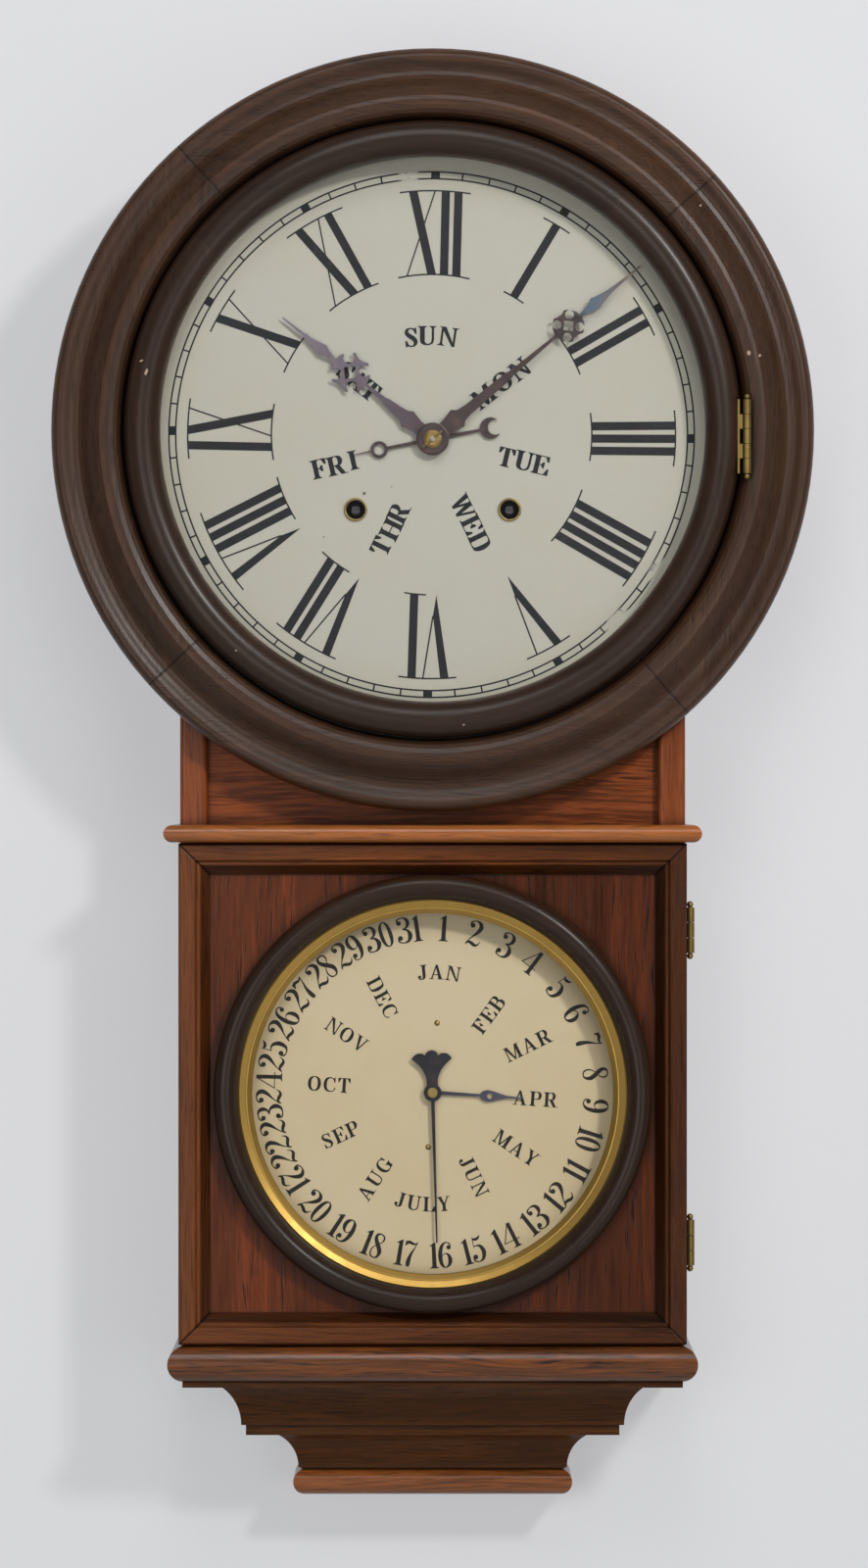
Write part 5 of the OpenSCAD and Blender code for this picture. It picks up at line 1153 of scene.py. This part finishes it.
def wall_paint(s):
    """Plaster that partly glows with painted light where it is seen, lifting its shadows, and clear from behind."""
    n = material_nodes("wall_paint")
    base = n.mix(n.step(n.noise(n.place, 5.0, 4.0, 0.6), 0.3, 0.7), toned(s.wall, 0.97), s.wall)
    plaster = n.surface(Base_Color=base, Roughness=0.8, Normal=n.bump(n.noise(n.place, 160.0, 4.0, 0.6), 0.0006, 0.3))
    path = n.add("ShaderNodeLightPath").outputs
    seen = n.maths("ADD", n.maths("ADD", path["Is Camera Ray"], path["Is Glossy Ray"]), path["Is Transmission Ray"],
                   clamp=True)
    shown = n.times(seen, n.minus(1.0, n.add("ShaderNodeNewGeometry").outputs["Backfacing"]))
    # Painted light: where seen, the wall partly glows in its seen colour, which lifts its shadows
    even = n.mixed(n.times(seen, s.even), plaster, n.named(n.add("ShaderNodeEmission"), Color=s.wall_shown))
    return n.finish(n.mixed(shown, n.add("ShaderNodeBsdfTransparent").outputs[0], even))


def add_wall(scene, s):
    line = [(WALL_GAP, WALL_TOP)]
    for k in range(BEND_STEPS + 1):
        turn = math.pi / 2 * k / BEND_STEPS
        line.append((WALL_GAP - BEND * (1 - math.cos(turn)), WALL_FOOT + BEND * (1 - math.sin(turn))))
    line.append((-FLOOR_REACH, WALL_FOOT))
    mesh = bpy.data.meshes.new("wall_and_floor")
    mesh.from_pydata([(x, y, z) for y, z in line for x in (-WALL_HALF, WALL_HALF)], [],
                     [(2 * k, 2 * k + 2, 2 * k + 3, 2 * k + 1) for k in range(len(line) - 1)])
    mesh.materials.append(wall_paint(s))
    wall = bpy.data.objects.new("wall_and_floor", mesh)
    scene.collection.objects.link(wall)


def add_room(scene, s):
    """Light from all round, dimmer in front of the clock, and the colour of the wall where the camera sees past it."""
    n = Nodes(bpy.data.worlds.new("room"))
    strength = n.run(n.add("ShaderNodeMapRange"), n.split(n.way)[1], -1.0, -0.5, 0.5 * s.world, s.world)
    room = n.named(n.add("ShaderNodeBackground"), Color=ROOM_TONE, Strength=strength)
    pale = n.named(n.add("ShaderNodeBackground"), Color=s.wall, Strength=1.0)
    scene.world = n.finish(n.mixed(n.add("ShaderNodeLightPath").outputs["Is Camera Ray"], room, pale),
                           "ShaderNodeOutputWorld")


def add_lamp(scene, name, watts):
    place, size, tone = LAMPS[name]
    data = bpy.data.lights.new(name, "AREA")
    data.shape, data.size, data.energy, data.color = "DISK", size, watts, tone
    piece = bpy.data.objects.new(name, data)
    piece.location = place
    piece.rotation_euler = (Vector(LAMP_AIM) - Vector(place)).to_track_quat("-Z", "Y").to_euler()
    scene.collection.objects.link(piece)


class CLOCK_OT_stage(Operator):
    """Set up the camera, wall, floor, room light and lamps"""
    bl_idname = "clock.stage"
    bl_label = "Set Stage"
    bl_options = {"REGISTER", "UNDO"}

    def execute(self, context):
        scene, s = context.scene, context.scene.clock_stage
        add_camera(scene, s)
        add_wall(scene, s)
        add_room(scene, s)
        add_lamp(scene, "key", s.key)
        add_lamp(scene, "top", s.top)
        add_lamp(scene, "fill_left", s.fill * LEFT_SHARE)
        add_lamp(scene, "fill_right", s.fill * RIGHT_SHARE)
        scene.view_settings.view_transform = "Standard"
        return {"FINISHED"}


class CLOCK_PT_sidebar(Panel):
    """Sizes, colours and steps of the clock"""
    bl_label = "Wall Clock"
    bl_idname = "CLOCK_PT_sidebar"
    bl_space_type = "VIEW_3D"
    bl_region_type = "UI"
    bl_category = "Clock"

    def draw(self, context):
        for step in STEPS:
            self.layout.operator(step.bl_idname)
        for name, group in SETTINGS.items():
            box = self.layout.box()
            box.label(text=group.__doc__)
            for key in group.__annotations__:
                box.prop(getattr(context.scene, name), key)


STEPS = (CLOCK_OT_stage, CLOCK_OT_dial_paint, CLOCK_OT_time_print, CLOCK_OT_calendar_print, CLOCK_OT_rings,
         CLOCK_OT_case_wood, CLOCK_OT_door_wood, CLOCK_OT_metal, CLOCK_OT_glass)
CLASSES = (*SETTINGS.values(), *STEPS, CLOCK_PT_sidebar)


def register():
    for group in CLASSES:
        bpy.utils.register_class(group)
    for name, group in SETTINGS.items():
        setattr(bpy.types.Scene, name, PointerProperty(type=group))


def unregister():
    for name in SETTINGS:
        delattr(bpy.types.Scene, name)
    for group in reversed(CLASSES):
        bpy.utils.unregister_class(group)


def main():
    register()
    bpy.ops.clock.stage()
    bpy.ops.clock.dial_paint()
    bpy.ops.clock.time_print()
    bpy.ops.clock.calendar_print()
    bpy.ops.clock.rings()
    bpy.ops.clock.case_wood()
    bpy.ops.clock.door_wood()
    bpy.ops.clock.metal()
    bpy.ops.clock.glass()


if __name__ == "__main__":
    main()
